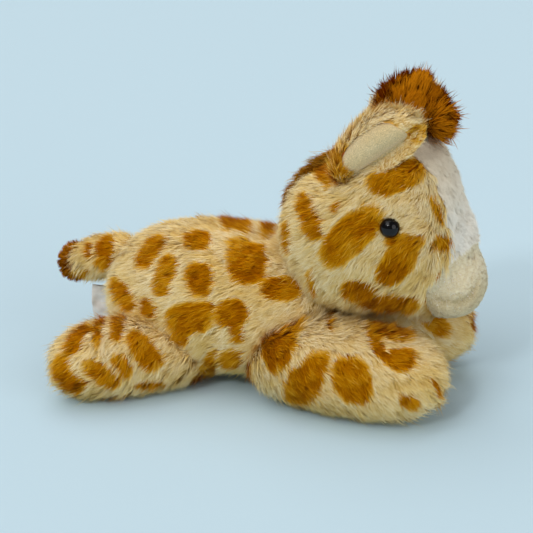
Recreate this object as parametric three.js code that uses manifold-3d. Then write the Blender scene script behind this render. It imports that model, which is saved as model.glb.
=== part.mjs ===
// A plush giraffe lying on its belly with its head up, as the sewn and stuffed pieces that it is made of.
// Millimetres, +Z up, nose towards +X. The origin is the middle of the flat on which the belly rests.
import * as THREE from "three";
import { mergeVertices } from "three/addons/utils/BufferGeometryUtils.js";
import Module from "manifold-3d";

const wasm = await Module();
wasm.setup();

// Cloth and clearances
const pile = 4; // backing cloth with the pile lying on it
const seamGap = 0.3; // between neighbouring pieces
const jointGap = 0.5; // between pieces that turn against each other
const restFlat = 0.5; // how deep a stuffed form is pressed flat where it rests
const overrun = 400; // how far a cutting block reaches past what it cuts
const weld = 0.0001; // vertices closer than this are one

// Torso: one fat bolster
const torsoLength = 160;
const torsoWidth = 100;
const torsoHeight = 106;
const torsoRoundness = 2.4; // 2 is an ellipse, more is squarer
const bellyPanelWidth = 44;
const bellyPanelHeight = 12;
const beadPouchLength = 84;
const beadPouchWidth = 60;
const beadPouchHeight = 26;

// Head: a deep egg that runs into the neck, with a round muzzle low at its front
const headLength = 122;
const headWidth = 104;
const headHeight = 124;
const headBackShare = 0.49; // of half the torso's length: where the back of the head starts
const chinRestShare = 0.9; // of a front leg's thickness: how high the chin lies on the legs
// From nape to brow, as shares: place along the head, then underside, top and half width of the section
const headStationShares = [
  [0.023, 0.3, 0.56, 0.4],
  [0.08, 0.17, 0.66, 0.64],
  [0.163, 0.08, 0.73, 0.8],
  [0.28, 0.02, 0.8, 0.93],
  [0.42, 0.0, 0.915, 1.0],
  [0.57, 0.0, 0.99, 0.985],
  [0.7, 0.0, 0.985, 0.92],
  [0.81, 0.0, 0.89, 0.78],
  [0.9, 0.02, 0.73, 0.6],
  [0.96, 0.06, 0.57, 0.44],
  [0.992, 0.15, 0.46, 0.25],
];
const napeHeightShare = 0.44; // of the head's height, where its back end closes
const browHeightShare = 0.31; // of the head's height, where its front end closes
const headRoundness = 2.15;
const muzzleLength = 50;
const muzzleWidth = 58;
const muzzleHeight = 52;
const muzzlePlaceShare = 0.851; // of the head's length, where the middle of the muzzle lies
const muzzleHeightShare = 0.197; // of the head's height, where the middle of the muzzle lies
const muzzlePanelDepth = 33; // how far back from its tip the muzzle's short-piled cloth reaches
const muzzlePanelMargin = 8; // how far that cloth reaches past the muzzle's ball
const blazeWidthShare = 0.52; // of the head's width
const blazeDepth = 42; // how far back from the brow the white blaze reaches at the crown
const neckPlaceShare = 0.046; // of the head's length, where the head tips about
const neckHeightShare = 0.94; // of half the torso's height
const nodUp = 18; // degrees that the head tips back

// Eyes: domed heads on shanks, each locked by a washer inside the head
const eyeDiameter = 12;
const eyeDome = 5;
const eyeSink = 2.6; // how deep the eye's rim sits in the pile
const eyeShankDiameter = 4;
const eyeShankLength = 11;
const washerDiameter = 14;
const washerThickness = 1.5;
const eyePlaceShare = 0.62; // of the head's length
const eyeHeightShare = 0.57; // of the head's height
const eyeTurn = 10; // degrees that an eye looks forwards

// Mane along the nape and the forelock on the crown
const maneHeight = 5.5;
const maneWidth = 15;
const maneStart = 15; // above the neck seam
const forelockLength = 46;
const forelockWidth = 40;
const forelockHeight = 50;
const forelockPlaceShare = 0.655; // of the head's length
const forelockLobeLength = 26;
const forelockLobeWidth = 29;
const forelockLobeHeight = 34;
const forelockLobeDrop = 12;
const forelockLobeReachShare = 0.36; // of the forelock's length, how far forwards the lobe hangs
const forelockLiftShare = 0.16; // of the forelock's height, how far its middle lies above the crown

// Ears: cupped leaves of plush with a lining inside
const earLength = 50;
const earWidth = 27;
const earPlush = 4.5;
const earLining = 2.2;
const earCup = 72; // degrees that each half of the ear curls out of its plane
const earRootShare = 0.2; // how far its gathered root reaches into the head, of its length
const earPlaceShare = 0.4; // of the head's length
const earHeightShare = 0.79; // of the head's height
const earSideShare = 0.69; // of half the head's width
const earLift = 45; // degrees above level that the ear points
const earSplay = 9; // degrees that the ear points away from the head
const earLeanOut = 33; // degrees that the lining faces down
const earRootBlunt = 0.12; // how far along half a sine wave its outline starts
const earTipBlunt = 0.03; // and how far short of the wave's end it stops
const earFullness = 0.6; // power of that sine wave, where less is fuller
const earFlapOut = 22; // degrees
const earFlapIn = 8; // degrees

// Front legs: thick sausages lying forwards under the chin
const frontLegLength = 133;
const frontLegDiameter = 62;
const frontLegRoundness = 2.5;
const frontLegSplay = 7.5; // degrees outwards
const shoulderPlaceShare = 0.6875; // of half the torso's length
const shoulderSideShare = 0.68; // of half the torso's width
const frontLegRootShare = 0.25; // of its length, how much of it lies behind the shoulder seam
const frontLegSwingOut = 22; // degrees
const frontLegSwingIn = 2; // degrees

// Hind legs: shorter, splayed out behind
const hindLegLength = 119;
const hindLegDiameter = 53;
const hindLegRoundness = 2.6;
const hindLegSplay = 36.5; // degrees outwards from straight back
const hipPlaceShare = 0.51; // of half the torso's length, behind its middle
const hipSideShare = 0.76; // of half the torso's width
const hindLegRootShare = 0.448; // of its length, how much of it lies inside the hip seam
const hindLegSwing = 14; // degrees each way
const pawBeadShare = 0.3; // of a leg's length, how much of its end holds beads

// Tail: a stub with a tuft
const tailLength = 56;
const tailDiameter = 30;
const tailRoundness = 2.3;
const tailDroop = 15; // degrees below level
const tailHeightShare = 0.725; // of the torso's height, at its root
const tailRootShare = 0.36; // of its length, how much of it lies inside the rump
const tailWag = 15; // degrees each way
const tuftLength = 24;
const tuftWidth = 25;
const tuftHeight = 29;
const tuftOverlapShare = 0.18; // of the tuft's length, how far its middle lies behind the tail's tip

// Care label, sewn into the seam below the tail
const labelReach = 18;
const labelHeightShare = 0.236; // of the torso's height
const labelThickness = 1.2;
const labelBottomShare = 0.26; // of the torso's height

// How finely the round forms are faceted
const torsoSides = 20;
const torsoRings = 10;
const headSides = 18;
const legSides = 16;
const legRings = 8;
const ballSides = 12;
const ballRings = 8;
const eyeSides = 12;
const eyeRings = 4;
const earSteps = 6;
const earColumns = 6;
const tailSides = 12;
const tailRings = 6;

const degrees = THREE.MathUtils.degToRad;
const alongX = new THREE.Vector3(1, 0, 0);
const alongY = new THREE.Vector3(0, 1, 0);
const alongZ = new THREE.Vector3(0, 0, 1);

// A closed three.js geometry as a solid that can be joined and cut
function solid(geometry, place = new THREE.Matrix4()) {
  const bare = geometry.clone();
  bare.deleteAttribute("normal");
  bare.deleteAttribute("uv");
  bare.applyMatrix4(place);
  const merged = mergeVertices(bare, weld);
  return new wasm.Manifold(
    new wasm.Mesh({
      numProp: 3,
      vertProperties: merged.attributes.position.array,
      triVerts: new Uint32Array(merged.index.array),
    }),
  );
}

function named(name, piece, material) {
  const { vertProperties, triVerts, numProp } = piece.getMesh();
  const positions = new Float32Array(triVerts.length * 3);
  triVerts.forEach((vertex, corner) => {
    for (let axis = 0; axis < 3; axis++)
      positions[corner * 3 + axis] = vertProperties[vertex * numProp + axis];
  });
  const geometry = new THREE.BufferGeometry();
  geometry.setAttribute("position", new THREE.BufferAttribute(positions, 3));
  geometry.computeVertexNormals();
  const made = new THREE.Mesh(geometry, material);
  made.name = name;
  return made;
}

const moved = (x, y, z) => new THREE.Matrix4().makeTranslation(x, y, z);
const turned = (axis, angle) =>
  new THREE.Matrix4().makeRotationAxis(axis, degrees(angle));

// A turn by an angle about an axis through a point
function turnedAbout(point, axis, angle) {
  return moved(point.x, point.y, point.z)
    .multiply(turned(axis, angle))
    .multiply(moved(-point.x, -point.y, -point.z));
}

const corner = (x, y, z) => new THREE.Vector3(x, y, z);

function block(low, high, place = new THREE.Matrix4()) {
  const size = high.clone().sub(low);
  const middle = low.clone().lerp(high, 0.5);
  return solid(
    new THREE.BoxGeometry(size.x, size.y, size.z),
    place.clone().multiply(moved(middle.x, middle.y, middle.z)),
  );
}

// A bolster about the Y axis whose side is a superellipse: half length a and radius r
function bolster(a, r, roundness, sides, rings) {
  const profile = [];
  for (let i = 0; i <= rings; i++) {
    const angle = -Math.PI / 2 + (Math.PI * i) / rings;
    const out = Math.abs(Math.cos(angle)) ** (2 / roundness);
    const up = Math.sign(Math.sin(angle)) * Math.abs(Math.sin(angle)) ** (2 / roundness);
    profile.push(new THREE.Vector2(i % rings ? r * out : 0, a * up));
  }
  return new THREE.LatheGeometry(profile, sides);
}

function ball(length, width, height, middle, place = new THREE.Matrix4()) {
  const round = new THREE.SphereGeometry(1, ballSides, ballRings);
  round.scale(length / 2, width / 2, height / 2);
  return solid(round, place.clone().multiply(moved(middle.x, middle.y, middle.z)));
}

// Rings of one superellipse each, closed by a point at either end
function loft(rings, first, last, sides, roundness) {
  const positions = [first.x, first.y, first.z];
  for (const ring of rings)
    for (let i = 0; i < sides; i++) {
      const angle = (2 * Math.PI * i) / sides;
      const [c, s] = [Math.cos(angle), Math.sin(angle)];
      positions.push(
        ring.x,
        ring.halfWidth * Math.sign(c) * Math.abs(c) ** (2 / roundness),
        ring.z + ring.halfHeight * Math.sign(s) * Math.abs(s) ** (2 / roundness),
      );
    }
  positions.push(last.x, last.y, last.z);
  const end = positions.length / 3 - 1;
  const index = [];
  for (let i = 0; i < sides; i++) {
    const next = (i + 1) % sides;
    index.push(0, 1 + next, 1 + i);
    for (let ring = 0; ring < rings.length - 1; ring++) {
      const low = 1 + ring * sides;
      const high = low + sides;
      index.push(low + i, low + next, high + next, low + i, high + next, high + i);
    }
    const edge = 1 + (rings.length - 1) * sides;
    index.push(edge + i, edge + next, end);
  }
  const geometry = new THREE.BufferGeometry();
  geometry.setAttribute("position", new THREE.Float32BufferAttribute(positions, 3));
  geometry.setIndex(index);
  return geometry;
}

// What a solid sweeps through as it is turned about an axis, seen from the piece that turns the other way
function swept(make, point, axis, from, to) {
  let all = make(new THREE.Matrix4());
  for (const angle of [from, to]) if (angle) all = all.add(make(turnedAbout(point, axis, -angle)));
  return all;
}

const floor = block(
  corner(-overrun, -overrun, -overrun),
  corner(overrun, overrun, 0),
);
const toySides = [[-1, "right"], [1, "left"]];

// All that lies to one side of the seam down the middle
const oneSideOnly = (side) =>
  block(
    corner(-overrun, side < 0 ? -overrun : seamGap / 2, -overrun),
    corner(overrun, side < 0 ? -seamGap / 2 : overrun, overrun),
  );

// Torso
const torsoMiddle = torsoHeight / 2 - restFlat;

function torsoForm(inset, place = new THREE.Matrix4()) {
  const shape = bolster(
    torsoLength / 2 - inset,
    torsoHeight / 2 - inset,
    torsoRoundness,
    torsoSides,
    torsoRings,
  );
  shape.applyMatrix4(turned(alongZ, -90));
  shape.scale(1, (torsoWidth - 2 * inset) / (torsoHeight - 2 * inset), 1);
  return solid(shape, place.clone().multiply(moved(0, 0, torsoMiddle)));
}

// Head
const chinHeight = frontLegDiameter * chinRestShare;
const headBack = (torsoLength / 2) * headBackShare;
const headPlace = (along, up, side = 0) =>
  corner(headBack + headLength * along, (headWidth / 2) * side, chinHeight + headHeight * up);

function headForm(inset, place = new THREE.Matrix4()) {
  const shrink = 1 - (2 * inset) / headLength;
  const middle = headBack + headLength / 2;
  const along = (share) => middle + (headBack + headLength * share - middle) * shrink;
  const rings = headStationShares.map(([x, low, high, wide]) => {
    const half = (headHeight * (high - low)) / 2;
    return {
      x: along(x),
      z: chinHeight + (headHeight * (high + low)) / 2,
      halfHeight: half - Math.min(inset, half / 2),
      halfWidth: (headWidth / 2) * wide - Math.min(inset, (headWidth * wide) / 4),
    };
  });
  const nape = corner(along(0), 0, chinHeight + headHeight * napeHeightShare);
  const brow = corner(along(1), 0, chinHeight + headHeight * browHeightShare);
  const egg = solid(loft(rings, nape, brow, headSides, headRoundness), place);
  return egg.add(muzzleBall(-inset, place));
}

function muzzleBall(grow, place = new THREE.Matrix4()) {
  const wider = 2 * grow;
  const middle = headPlace(muzzlePlaceShare, muzzleHeightShare);
  return ball(muzzleLength + wider, muzzleWidth + wider, muzzleHeight + wider, middle, place);
}

// The neck seam's hinge lies across the nape, where the head meets the back
const neckPivot = corner(
  headBack + headLength * neckPlaceShare,
  0,
  torsoMiddle + (torsoHeight / 2) * neckHeightShare,
);
const neckAxis = corner(0, -1, 0);
const torsoSwept = (point, axis, from, to) =>
  swept((place) => torsoForm(-jointGap, place), point, axis, from, to);
const neckCut = torsoSwept(neckPivot, neckAxis, 0, nodUp);
const headInTheWay = (place) => headForm(-jointGap, place);

// Materials
const cream = new THREE.MeshStandardMaterial({ color: 0xe6cf9c, roughness: 0.95, metalness: 0 });
const white = new THREE.MeshStandardMaterial({ color: 0xe9e2da, roughness: 0.95, metalness: 0 });
const velour = new THREE.MeshStandardMaterial({ color: 0xd9cca6, roughness: 0.9, metalness: 0 });
const russet = new THREE.MeshStandardMaterial({ color: 0x8a4a12, roughness: 0.95, metalness: 0 });
const glossBlack = new THREE.MeshStandardMaterial({ color: 0x0c0b0c, roughness: 0.12, metalness: 0 });
const washerWhite = new THREE.MeshStandardMaterial({ color: 0xe8e8e4, roughness: 0.5, metalness: 0 });
const fibre = new THREE.MeshStandardMaterial({ color: 0xf4f4f0, roughness: 1, metalness: 0 });
const pouchCloth = new THREE.MeshStandardMaterial({ color: 0xd8d4cc, roughness: 0.9, metalness: 0 });
const satin = new THREE.MeshStandardMaterial({ color: 0xf2f0ee, roughness: 0.45, metalness: 0 });

const giraffe = new THREE.Group();

function buildTorso() {
  const shell = torsoForm(0).subtract(torsoForm(pile)).subtract(floor);
  const halfPanel = bellyPanelWidth / 2;
  const belly = (grow) =>
    block(
      corner(-overrun, -halfPanel - grow, -overrun),
      corner(overrun, halfPanel + grow, bellyPanelHeight + grow),
    );
  const sides = shell.subtract(belly(seamGap));
  const inside = torsoForm(pile + seamGap);
  const pouchZone = (grow) =>
    block(
      corner(-beadPouchLength / 2 - grow, -beadPouchWidth / 2 - grow, -overrun),
      corner(beadPouchLength / 2 + grow, beadPouchWidth / 2 + grow, beadPouchHeight + grow),
    );
  for (const [side, name] of toySides)
    giraffe.add(named(`torso_side_${name}`, sides.intersect(oneSideOnly(side)), cream));
  giraffe.add(named("belly_panel", shell.intersect(belly(0)), cream));
  giraffe.add(named("torso_filling", inside.subtract(pouchZone(seamGap)), fibre));
  giraffe.add(named("torso_bead_pouch", inside.intersect(pouchZone(0)), pouchCloth));
}

// Eyes: the frame of each looks along its shank
const eyes = toySides.map(([side, name]) => {
  const ray = turned(alongZ, side * (90 - eyeTurn));
  const sight = alongX.clone().applyMatrix4(ray);
  const onPlane = headPlace(eyePlaceShare, eyeHeightShare);
  return { side, name, sight, ray, onPlane };
});

function headHalfWidthAt(alongShare, upShare) {
  const rows = headStationShares;
  const after = rows.findIndex((row) => row[0] > alongShare);
  const [a, b] = [rows[after - 1], rows[after]];
  const t = (alongShare - a[0]) / (b[0] - a[0]);
  const [low, high, wide] = [1, 2, 3].map((k) => a[k] + (b[k] - a[k]) * t);
  const rise = Math.abs((2 * upShare - high - low) / (high - low));
  return (headWidth / 2) * wide * (1 - rise ** headRoundness) ** (1 / headRoundness);
}

function eyeFrame({ side, ray, onPlane, sight }) {
  const surface = headHalfWidthAt(eyePlaceShare, eyeHeightShare);
  const seat = corner(onPlane.x, side * surface, onPlane.z).addScaledVector(sight, -eyeSink);
  // The lathes below stand on the Y axis, which is turned to lie along the line of sight
  return moved(seat.x, seat.y, seat.z).multiply(ray).multiply(turned(alongZ, -90));
}

const turnedProfile = (points, sides) =>
  new THREE.LatheGeometry(points.map(([x, y]) => new THREE.Vector2(x, y)), sides);

function eyeSolid(frame, grow) {
  const [rim, shank] = [eyeDiameter / 2 + grow, eyeShankDiameter / 2 + grow];
  const dome = [];
  for (let i = 0; i <= eyeRings; i++) {
    const angle = (Math.PI / 2) * (i / eyeRings);
    dome.push([i < eyeRings ? rim * Math.cos(angle) : 0, (eyeDome + grow) * Math.sin(angle)]);
  }
  const points = [[0, -eyeShankLength - grow], [shank, -eyeShankLength - grow], [shank, -grow]];
  return solid(turnedProfile([...points, [rim, -grow], ...dome], eyeSides), frame);
}

function washerSolid(frame, grow, hollow) {
  const outer = washerDiameter / 2 + grow;
  const inner = hollow ? eyeShankDiameter / 2 + seamGap : 0;
  const top = -(pile - eyeSink) - seamGap * 2 + grow;
  const bottom = top - washerThickness - 2 * grow;
  const points = [[inner, bottom], [outer, bottom], [outer, top], [inner, top]];
  return solid(turnedProfile(hollow ? [...points, points[0]] : points, eyeSides), frame);
}

function buildHead() {
  const outer = headForm(0);
  let shell = outer.subtract(headForm(pile));
  let filling = headForm(pile + seamGap);
  for (const eye of eyes) {
    const frame = eyeFrame(eye);
    giraffe.add(named(`eye_${eye.name}`, eyeSolid(frame, 0), glossBlack));
    giraffe.add(named(`eye_washer_${eye.name}`, washerSolid(frame, 0, true), washerWhite));
    shell = shell.subtract(eyeSolid(frame, seamGap)).subtract(washerSolid(frame, seamGap, false));
    filling = filling.subtract(eyeSolid(frame, seamGap)).subtract(washerSolid(frame, seamGap, false));
  }
  shell = shell.subtract(neckCut);
  giraffe.add(named("head_filling", filling.subtract(neckCut), fibre));

  const muzzle = headPlace(muzzlePlaceShare, muzzleHeightShare);
  const muzzleBack = muzzle.x + muzzleLength / 2 - muzzlePanelDepth;
  const muzzleZone = (grow) =>
    muzzleBall(muzzlePanelMargin + grow).intersect(
      block(corner(muzzleBack - grow, -overrun, -overrun), corner(overrun, overrun, overrun)),
    );
  const browX = headBack + headLength;
  const blazeHalf = (headWidth * blazeWidthShare) / 2;
  const blazeZone = (grow) =>
    block(
      corner(browX - blazeDepth - grow, -blazeHalf - grow, muzzle.z - grow),
      corner(overrun, blazeHalf + grow, overrun),
    ).subtract(muzzleZone(seamGap - grow));
  giraffe.add(named("muzzle_panel", shell.intersect(muzzleZone(0)), velour));
  giraffe.add(named("face_blaze", shell.intersect(blazeZone(0)), white));
  const sides = shell.subtract(muzzleZone(seamGap)).subtract(blazeZone(seamGap));
  for (const [side, name] of toySides)
    giraffe.add(named(`head_side_${name}`, sides.intersect(oneSideOnly(side)), cream));

  const crown = headPlace(forelockPlaceShare, 1);
  const lockMiddle = corner(crown.x, 0, crown.z + forelockHeight * forelockLiftShare);
  const lobeMiddle = corner(
    crown.x + forelockLength * forelockLobeReachShare,
    0,
    lockMiddle.z - forelockLobeDrop,
  );
  const lock = (grow) =>
    ball(
      forelockLength + 2 * grow,
      forelockWidth + 2 * grow,
      forelockHeight + 2 * grow,
      lockMiddle,
    ).add(ball(forelockLobeLength, forelockLobeWidth, forelockLobeHeight, lobeMiddle));
  const maneZone = block(
    corner(headBack - maneHeight, -maneWidth / 2, neckPivot.z + maneStart),
    corner(crown.x, maneWidth / 2, overrun),
  );
  const clearOfHead = headForm(-seamGap);
  const mane = headForm(-maneHeight).intersect(maneZone).subtract(clearOfHead).subtract(lock(seamGap));
  giraffe.add(named("forelock", lock(0).subtract(clearOfHead), russet));
  giraffe.add(named("nape_mane", mane.subtract(neckCut), russet));
}

// Ears: a leaf whose cross-section is an arc, as two layers between depths under its inner face
function earFrame(side) {
  const root = headPlace(earPlaceShare, earHeightShare, side * earSideShare);
  const [lift, splay, lean] = [earLift, earSplay, earLeanOut].map(degrees);
  const level = Math.cos(lift) * Math.cos(splay);
  const long = corner(level, side * Math.sin(splay), Math.sin(lift) * Math.cos(splay));
  const face = corner(0, side * Math.cos(lean), -Math.sin(lean));
  face.addScaledVector(long, -face.dot(long)).normalize();
  const across = new THREE.Vector3().crossVectors(face, long).multiplyScalar(side);
  return { root, long, face, across };
}

function earLayer(side, near, far) {
  const { root, long, face, across } = earFrame(side);
  const place = (s, t, depth) => {
    const bulge = Math.PI * (earRootBlunt + (1 - earRootBlunt - earTipBlunt) * Math.max(s, 0));
    const curl = degrees(earCup);
    const radius = ((earWidth / 2) * Math.sin(bulge) ** earFullness) / Math.sin(curl);
    const angle = curl * t;
    const point = root.clone().addScaledVector(long, earLength * s);
    const inwards = radius + depth;
    point.addScaledVector(across, inwards * Math.sin(angle));
    return point.addScaledVector(face, radius - inwards * Math.cos(angle));
  };
  const [rows, columns] = [earSteps + 1, earColumns + 1];
  const positions = [];
  for (const depth of [near, far])
    for (let i = 0; i < rows; i++)
      for (let j = 0; j < columns; j++) {
        const s = -earRootShare + ((1 + earRootShare) * i) / earSteps;
        const t = THREE.MathUtils.lerp(-1, 1, j / earColumns);
        positions.push(...place(s, t, depth).toArray());
      }
  const at = (layer, i, j) => layer * rows * columns + i * columns + j;
  const index = [];
  const quad = (a, b, c, d) => index.push(a, b, c, a, c, d);
  const turn = (a, b, c, d) => (side < 0 ? quad(a, b, c, d) : quad(d, c, b, a));
  for (let i = 0; i < earSteps; i++)
    for (let j = 0; j < earColumns; j++) {
      turn(at(0, i, j), at(0, i, j + 1), at(0, i + 1, j + 1), at(0, i + 1, j));
      turn(at(1, i + 1, j), at(1, i + 1, j + 1), at(1, i, j + 1), at(1, i, j));
    }
  for (let i = 0; i < earSteps; i++) {
    turn(at(0, i, 0), at(0, i + 1, 0), at(1, i + 1, 0), at(1, i, 0));
    turn(at(1, i, earColumns), at(1, i + 1, earColumns), at(0, i + 1, earColumns), at(0, i, earColumns));
  }
  for (let j = 0; j < earColumns; j++) {
    turn(at(1, 0, j), at(1, 0, j + 1), at(0, 0, j + 1), at(0, 0, j));
    turn(at(0, earSteps, j), at(0, earSteps, j + 1), at(1, earSteps, j + 1), at(1, earSteps, j));
  }
  const geometry = new THREE.BufferGeometry();
  geometry.setAttribute("position", new THREE.Float32BufferAttribute(positions, 3));
  geometry.setIndex(index);
  return solid(geometry);
}

function buildEars() {
  for (const [side, name] of toySides) {
    const { root, across } = earFrame(side);
    const cut = swept(headInTheWay, root, across, side * earFlapIn, -side * earFlapOut);
    giraffe.add(named(`ear_lining_${name}`, earLayer(side, 0, earLining).subtract(cut), velour));
    const back = earLayer(side, earLining + seamGap, earLining + seamGap + earPlush);
    giraffe.add(named(`ear_back_${name}`, back.subtract(cut), cream));
  }
}

// Legs: each lies along its own line, which the frame below turns the bolster onto
function legFrame({ pivot, heading, length, rootShare, diameter }) {
  return moved(pivot.x, pivot.y, diameter / 2 - restFlat)
    .multiply(turned(alongZ, heading - 90))
    .multiply(moved(0, length * (0.5 - rootShare), 0));
}

function buildLeg(name, leg) {
  const frame = legFrame(leg);
  const form = (inset) =>
    solid(
      bolster(leg.length / 2 - inset, leg.diameter / 2 - inset, leg.roundness, legSides, legRings),
      frame,
    ).subtract(floor);
  let cut = torsoSwept(leg.pivot, alongZ, leg.from, leg.to);
  if (leg.underHead) {
    cut = cut
      .add(swept(headInTheWay, leg.pivot, alongZ, leg.from, leg.to))
      .add(swept(headInTheWay, neckPivot, neckAxis, 0, -nodUp));
  }
  const shell = form(0).subtract(form(pile)).subtract(cut);
  const inside = form(pile + seamGap).subtract(cut);
  const half = seamGap / 2;
  const panels = [
    block(corner(half, -overrun, -overrun), corner(overrun, overrun, overrun), frame),
    block(corner(-overrun, -overrun, -overrun), corner(-half, overrun, overrun), frame),
  ];
  const [outer, inner] = leg.outsideIsPlus ? panels : panels.reverse();
  giraffe.add(named(`${name}_outer_panel`, shell.intersect(outer), cream));
  giraffe.add(named(`${name}_inner_panel`, shell.intersect(inner), cream));
  const split = leg.length * (0.5 - pawBeadShare);
  const paw = (grow) =>
    block(corner(-overrun, split - grow, -overrun), corner(overrun, overrun, overrun), frame);
  giraffe.add(named(`${name}_filling`, inside.subtract(paw(seamGap)), fibre));
  giraffe.add(named(`${name}_bead_pouch`, inside.intersect(paw(0)), pouchCloth));
}

const onTorso = (along, out) => corner((torsoLength / 2) * along, (torsoWidth / 2) * out, 0);

function buildLegs() {
  for (const [side, name] of toySides) {
    buildLeg(`front_leg_${name}`, {
      pivot: onTorso(shoulderPlaceShare, side * shoulderSideShare),
      heading: side * frontLegSplay,
      length: frontLegLength,
      diameter: frontLegDiameter,
      roundness: frontLegRoundness,
      rootShare: frontLegRootShare,
      from: -side * frontLegSwingIn,
      to: side * frontLegSwingOut,
      outsideIsPlus: side < 0,
      underHead: true,
    });
    buildLeg(`hind_leg_${name}`, {
      pivot: onTorso(-hipPlaceShare, side * hipSideShare),
      heading: 180 - side * hindLegSplay,
      length: hindLegLength,
      diameter: hindLegDiameter,
      roundness: hindLegRoundness,
      rootShare: hindLegRootShare,
      from: -hindLegSwing,
      to: hindLegSwing,
      outsideIsPlus: side > 0,
    });
  }
}

// The tail, and the label in the seam below it
function buildTail() {
  const root = corner(-torsoLength / 2 + pile, 0, torsoHeight * tailHeightShare);
  const frame = moved(root.x, root.y, root.z)
    .multiply(turned(alongY, -tailDroop))
    .multiply(turned(alongZ, 90))
    .multiply(moved(0, tailLength * (0.5 - tailRootShare), 0));
  const form = (inset) =>
    solid(
      bolster(tailLength / 2 - inset, tailDiameter / 2 - inset, tailRoundness, tailSides, tailRings),
      frame,
    );
  const cut = torsoSwept(root, alongZ, -tailWag, tailWag);
  const tip = corner(0, tailLength / 2 - tuftLength * tuftOverlapShare, 0).applyMatrix4(frame);
  const tuft = (grow) =>
    ball(tuftLength + 2 * grow, tuftWidth + 2 * grow, tuftHeight + 2 * grow, tip);
  const skin = form(0).subtract(form(pile)).subtract(cut).subtract(tuft(seamGap));
  giraffe.add(named("tail_skin", skin, cream));
  giraffe.add(named("tail_filling", form(pile + seamGap).subtract(cut).subtract(tuft(seamGap)), fibre));
  giraffe.add(named("tail_tuft", tuft(0), russet));

  const labelBottom = torsoHeight * labelBottomShare;
  const label = block(
    corner(-torsoLength / 2 - labelReach, -labelThickness / 2, labelBottom),
    corner(0, labelThickness / 2, labelBottom + torsoHeight * labelHeightShare),
  );
  giraffe.add(
    named("care_label", label.subtract(torsoForm(-seamGap)).subtract(form(-jointGap)), satin),
  );
}

buildTorso();
buildHead();
buildEars();
buildLegs();
buildTail();

export default giraffe;
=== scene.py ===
import itertools
import math

import bpy
import numpy as np
from bpy.props import FloatProperty, FloatVectorProperty, PointerProperty
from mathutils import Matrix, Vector


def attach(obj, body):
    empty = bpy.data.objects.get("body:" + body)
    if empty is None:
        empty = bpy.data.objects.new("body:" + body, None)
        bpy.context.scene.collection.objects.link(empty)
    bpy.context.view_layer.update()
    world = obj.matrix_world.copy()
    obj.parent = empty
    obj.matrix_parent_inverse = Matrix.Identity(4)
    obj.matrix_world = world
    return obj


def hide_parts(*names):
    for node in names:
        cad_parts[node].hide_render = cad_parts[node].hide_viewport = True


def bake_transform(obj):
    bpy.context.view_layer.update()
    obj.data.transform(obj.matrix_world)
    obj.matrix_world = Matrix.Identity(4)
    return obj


bl_info = {
    "name": "Plush giraffe",
    "version": (1, 0, 0),
    "blender": (4, 5, 0),
    "location": "View3D > Sidebar > Plush giraffe",
    "description": "Dresses the packed parts of a plush giraffe in pile, velour, long locks and glossy eyes",
    "category": "Add Mesh",
}

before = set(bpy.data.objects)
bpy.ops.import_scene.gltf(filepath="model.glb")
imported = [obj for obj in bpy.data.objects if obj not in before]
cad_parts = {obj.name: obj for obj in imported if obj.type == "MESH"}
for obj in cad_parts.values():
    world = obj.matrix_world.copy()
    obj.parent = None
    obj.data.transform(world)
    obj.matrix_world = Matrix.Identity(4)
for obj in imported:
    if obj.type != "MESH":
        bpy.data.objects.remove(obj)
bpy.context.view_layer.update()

MM = 0.001
SIDES = {"right": -1, "left": 1}

# Sizes of the sewn forms in millimetres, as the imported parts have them
TORSO_SIZE = (160, 100, 106)
TORSO_MIDDLE = (0, 0, 52.5)
TORSO_POWER = 2.4
HEAD_BACK, HEAD_LENGTH, HEAD_WIDTH, HEAD_HEIGHT, CHIN = 39.2, 122, 104, 124, 55.8
HEAD_POWER = 2.15
# Along the head, then underside, top and half width of its section, as shares
HEAD_STATIONS = np.array([
    (0.0, 0.41, 0.47, 0.0),
    (0.023, 0.3, 0.56, 0.4),
    (0.08, 0.17, 0.66, 0.64),
    (0.163, 0.08, 0.73, 0.8),
    (0.28, 0.02, 0.8, 0.93),
    (0.42, 0.0, 0.915, 1.0),
    (0.57, 0.0, 0.99, 0.985),
    (0.7, 0.0, 0.985, 0.92),
    (0.81, 0.0, 0.89, 0.78),
    (0.9, 0.02, 0.73, 0.6),
    (0.96, 0.06, 0.57, 0.44),
    (0.992, 0.15, 0.46, 0.25),
    (1.0, 0.28, 0.34, 0.0),
])
MUZZLE_MIDDLE = (143, 0, 80.2)
MUZZLE_HALF = (25, 29, 26)
MUZZLE_BACK = 135
BROW, BROW_SPREAD, BROW_RISE = (157, 0, 106), 9, 4.5  # the swell of the blaze above the muzzle
MOUTH_DEPTH, MOUTH_WIDTH = 1.5, 1.4
MUZZLE_FLOOR, MUZZLE_LIFT = 64, 0.45  # below this height it is flattened, by this share
FRONT_LEG = dict(length=133, thick=62, power=2.5, pivot=(55, 34), heading=7.5, root=0.25, bend=26)
HIND_LEG = dict(length=119, thick=53, power=2.6, pivot=(-40.8, 38), heading=143.5, root=0.448, bend=40)
PAW_REACH = {"right": -3, "left": 4}  # the front paws don't end level
PAW_NARROWING = 0.08  # of their outer side towards the tip
TAIL_ROOT = (-76, 0, 76.85)
TAIL_SIZE = (56, 30, 30)
TAIL_DROOP = 15
TAIL_POWER = 2.3
TAIL_BURIED = 0.36  # of its length, inside the torso
TUFT_SIZE = (24, 25, 29)
TUFT_CORE = (17, 18, 21)
TUFT_INSET = 4.3  # how far the tuft's middle lies in from the tail's end
TUFT_STRANDS = 6000
HIDE_INSET = 3.3  # how deep the cloth lies under the tips of its pile
FIBRE_INSET = 5.5  # how deep the stuffing lies
HIDE_FLOOR, PILE_FLOOR = 1.4, 0.35  # the lowest places of the cloth and of the strands on it
POUCH = np.array([42, 30, 26])  # half length, half width and height of the bead pouch low in the torso
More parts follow.
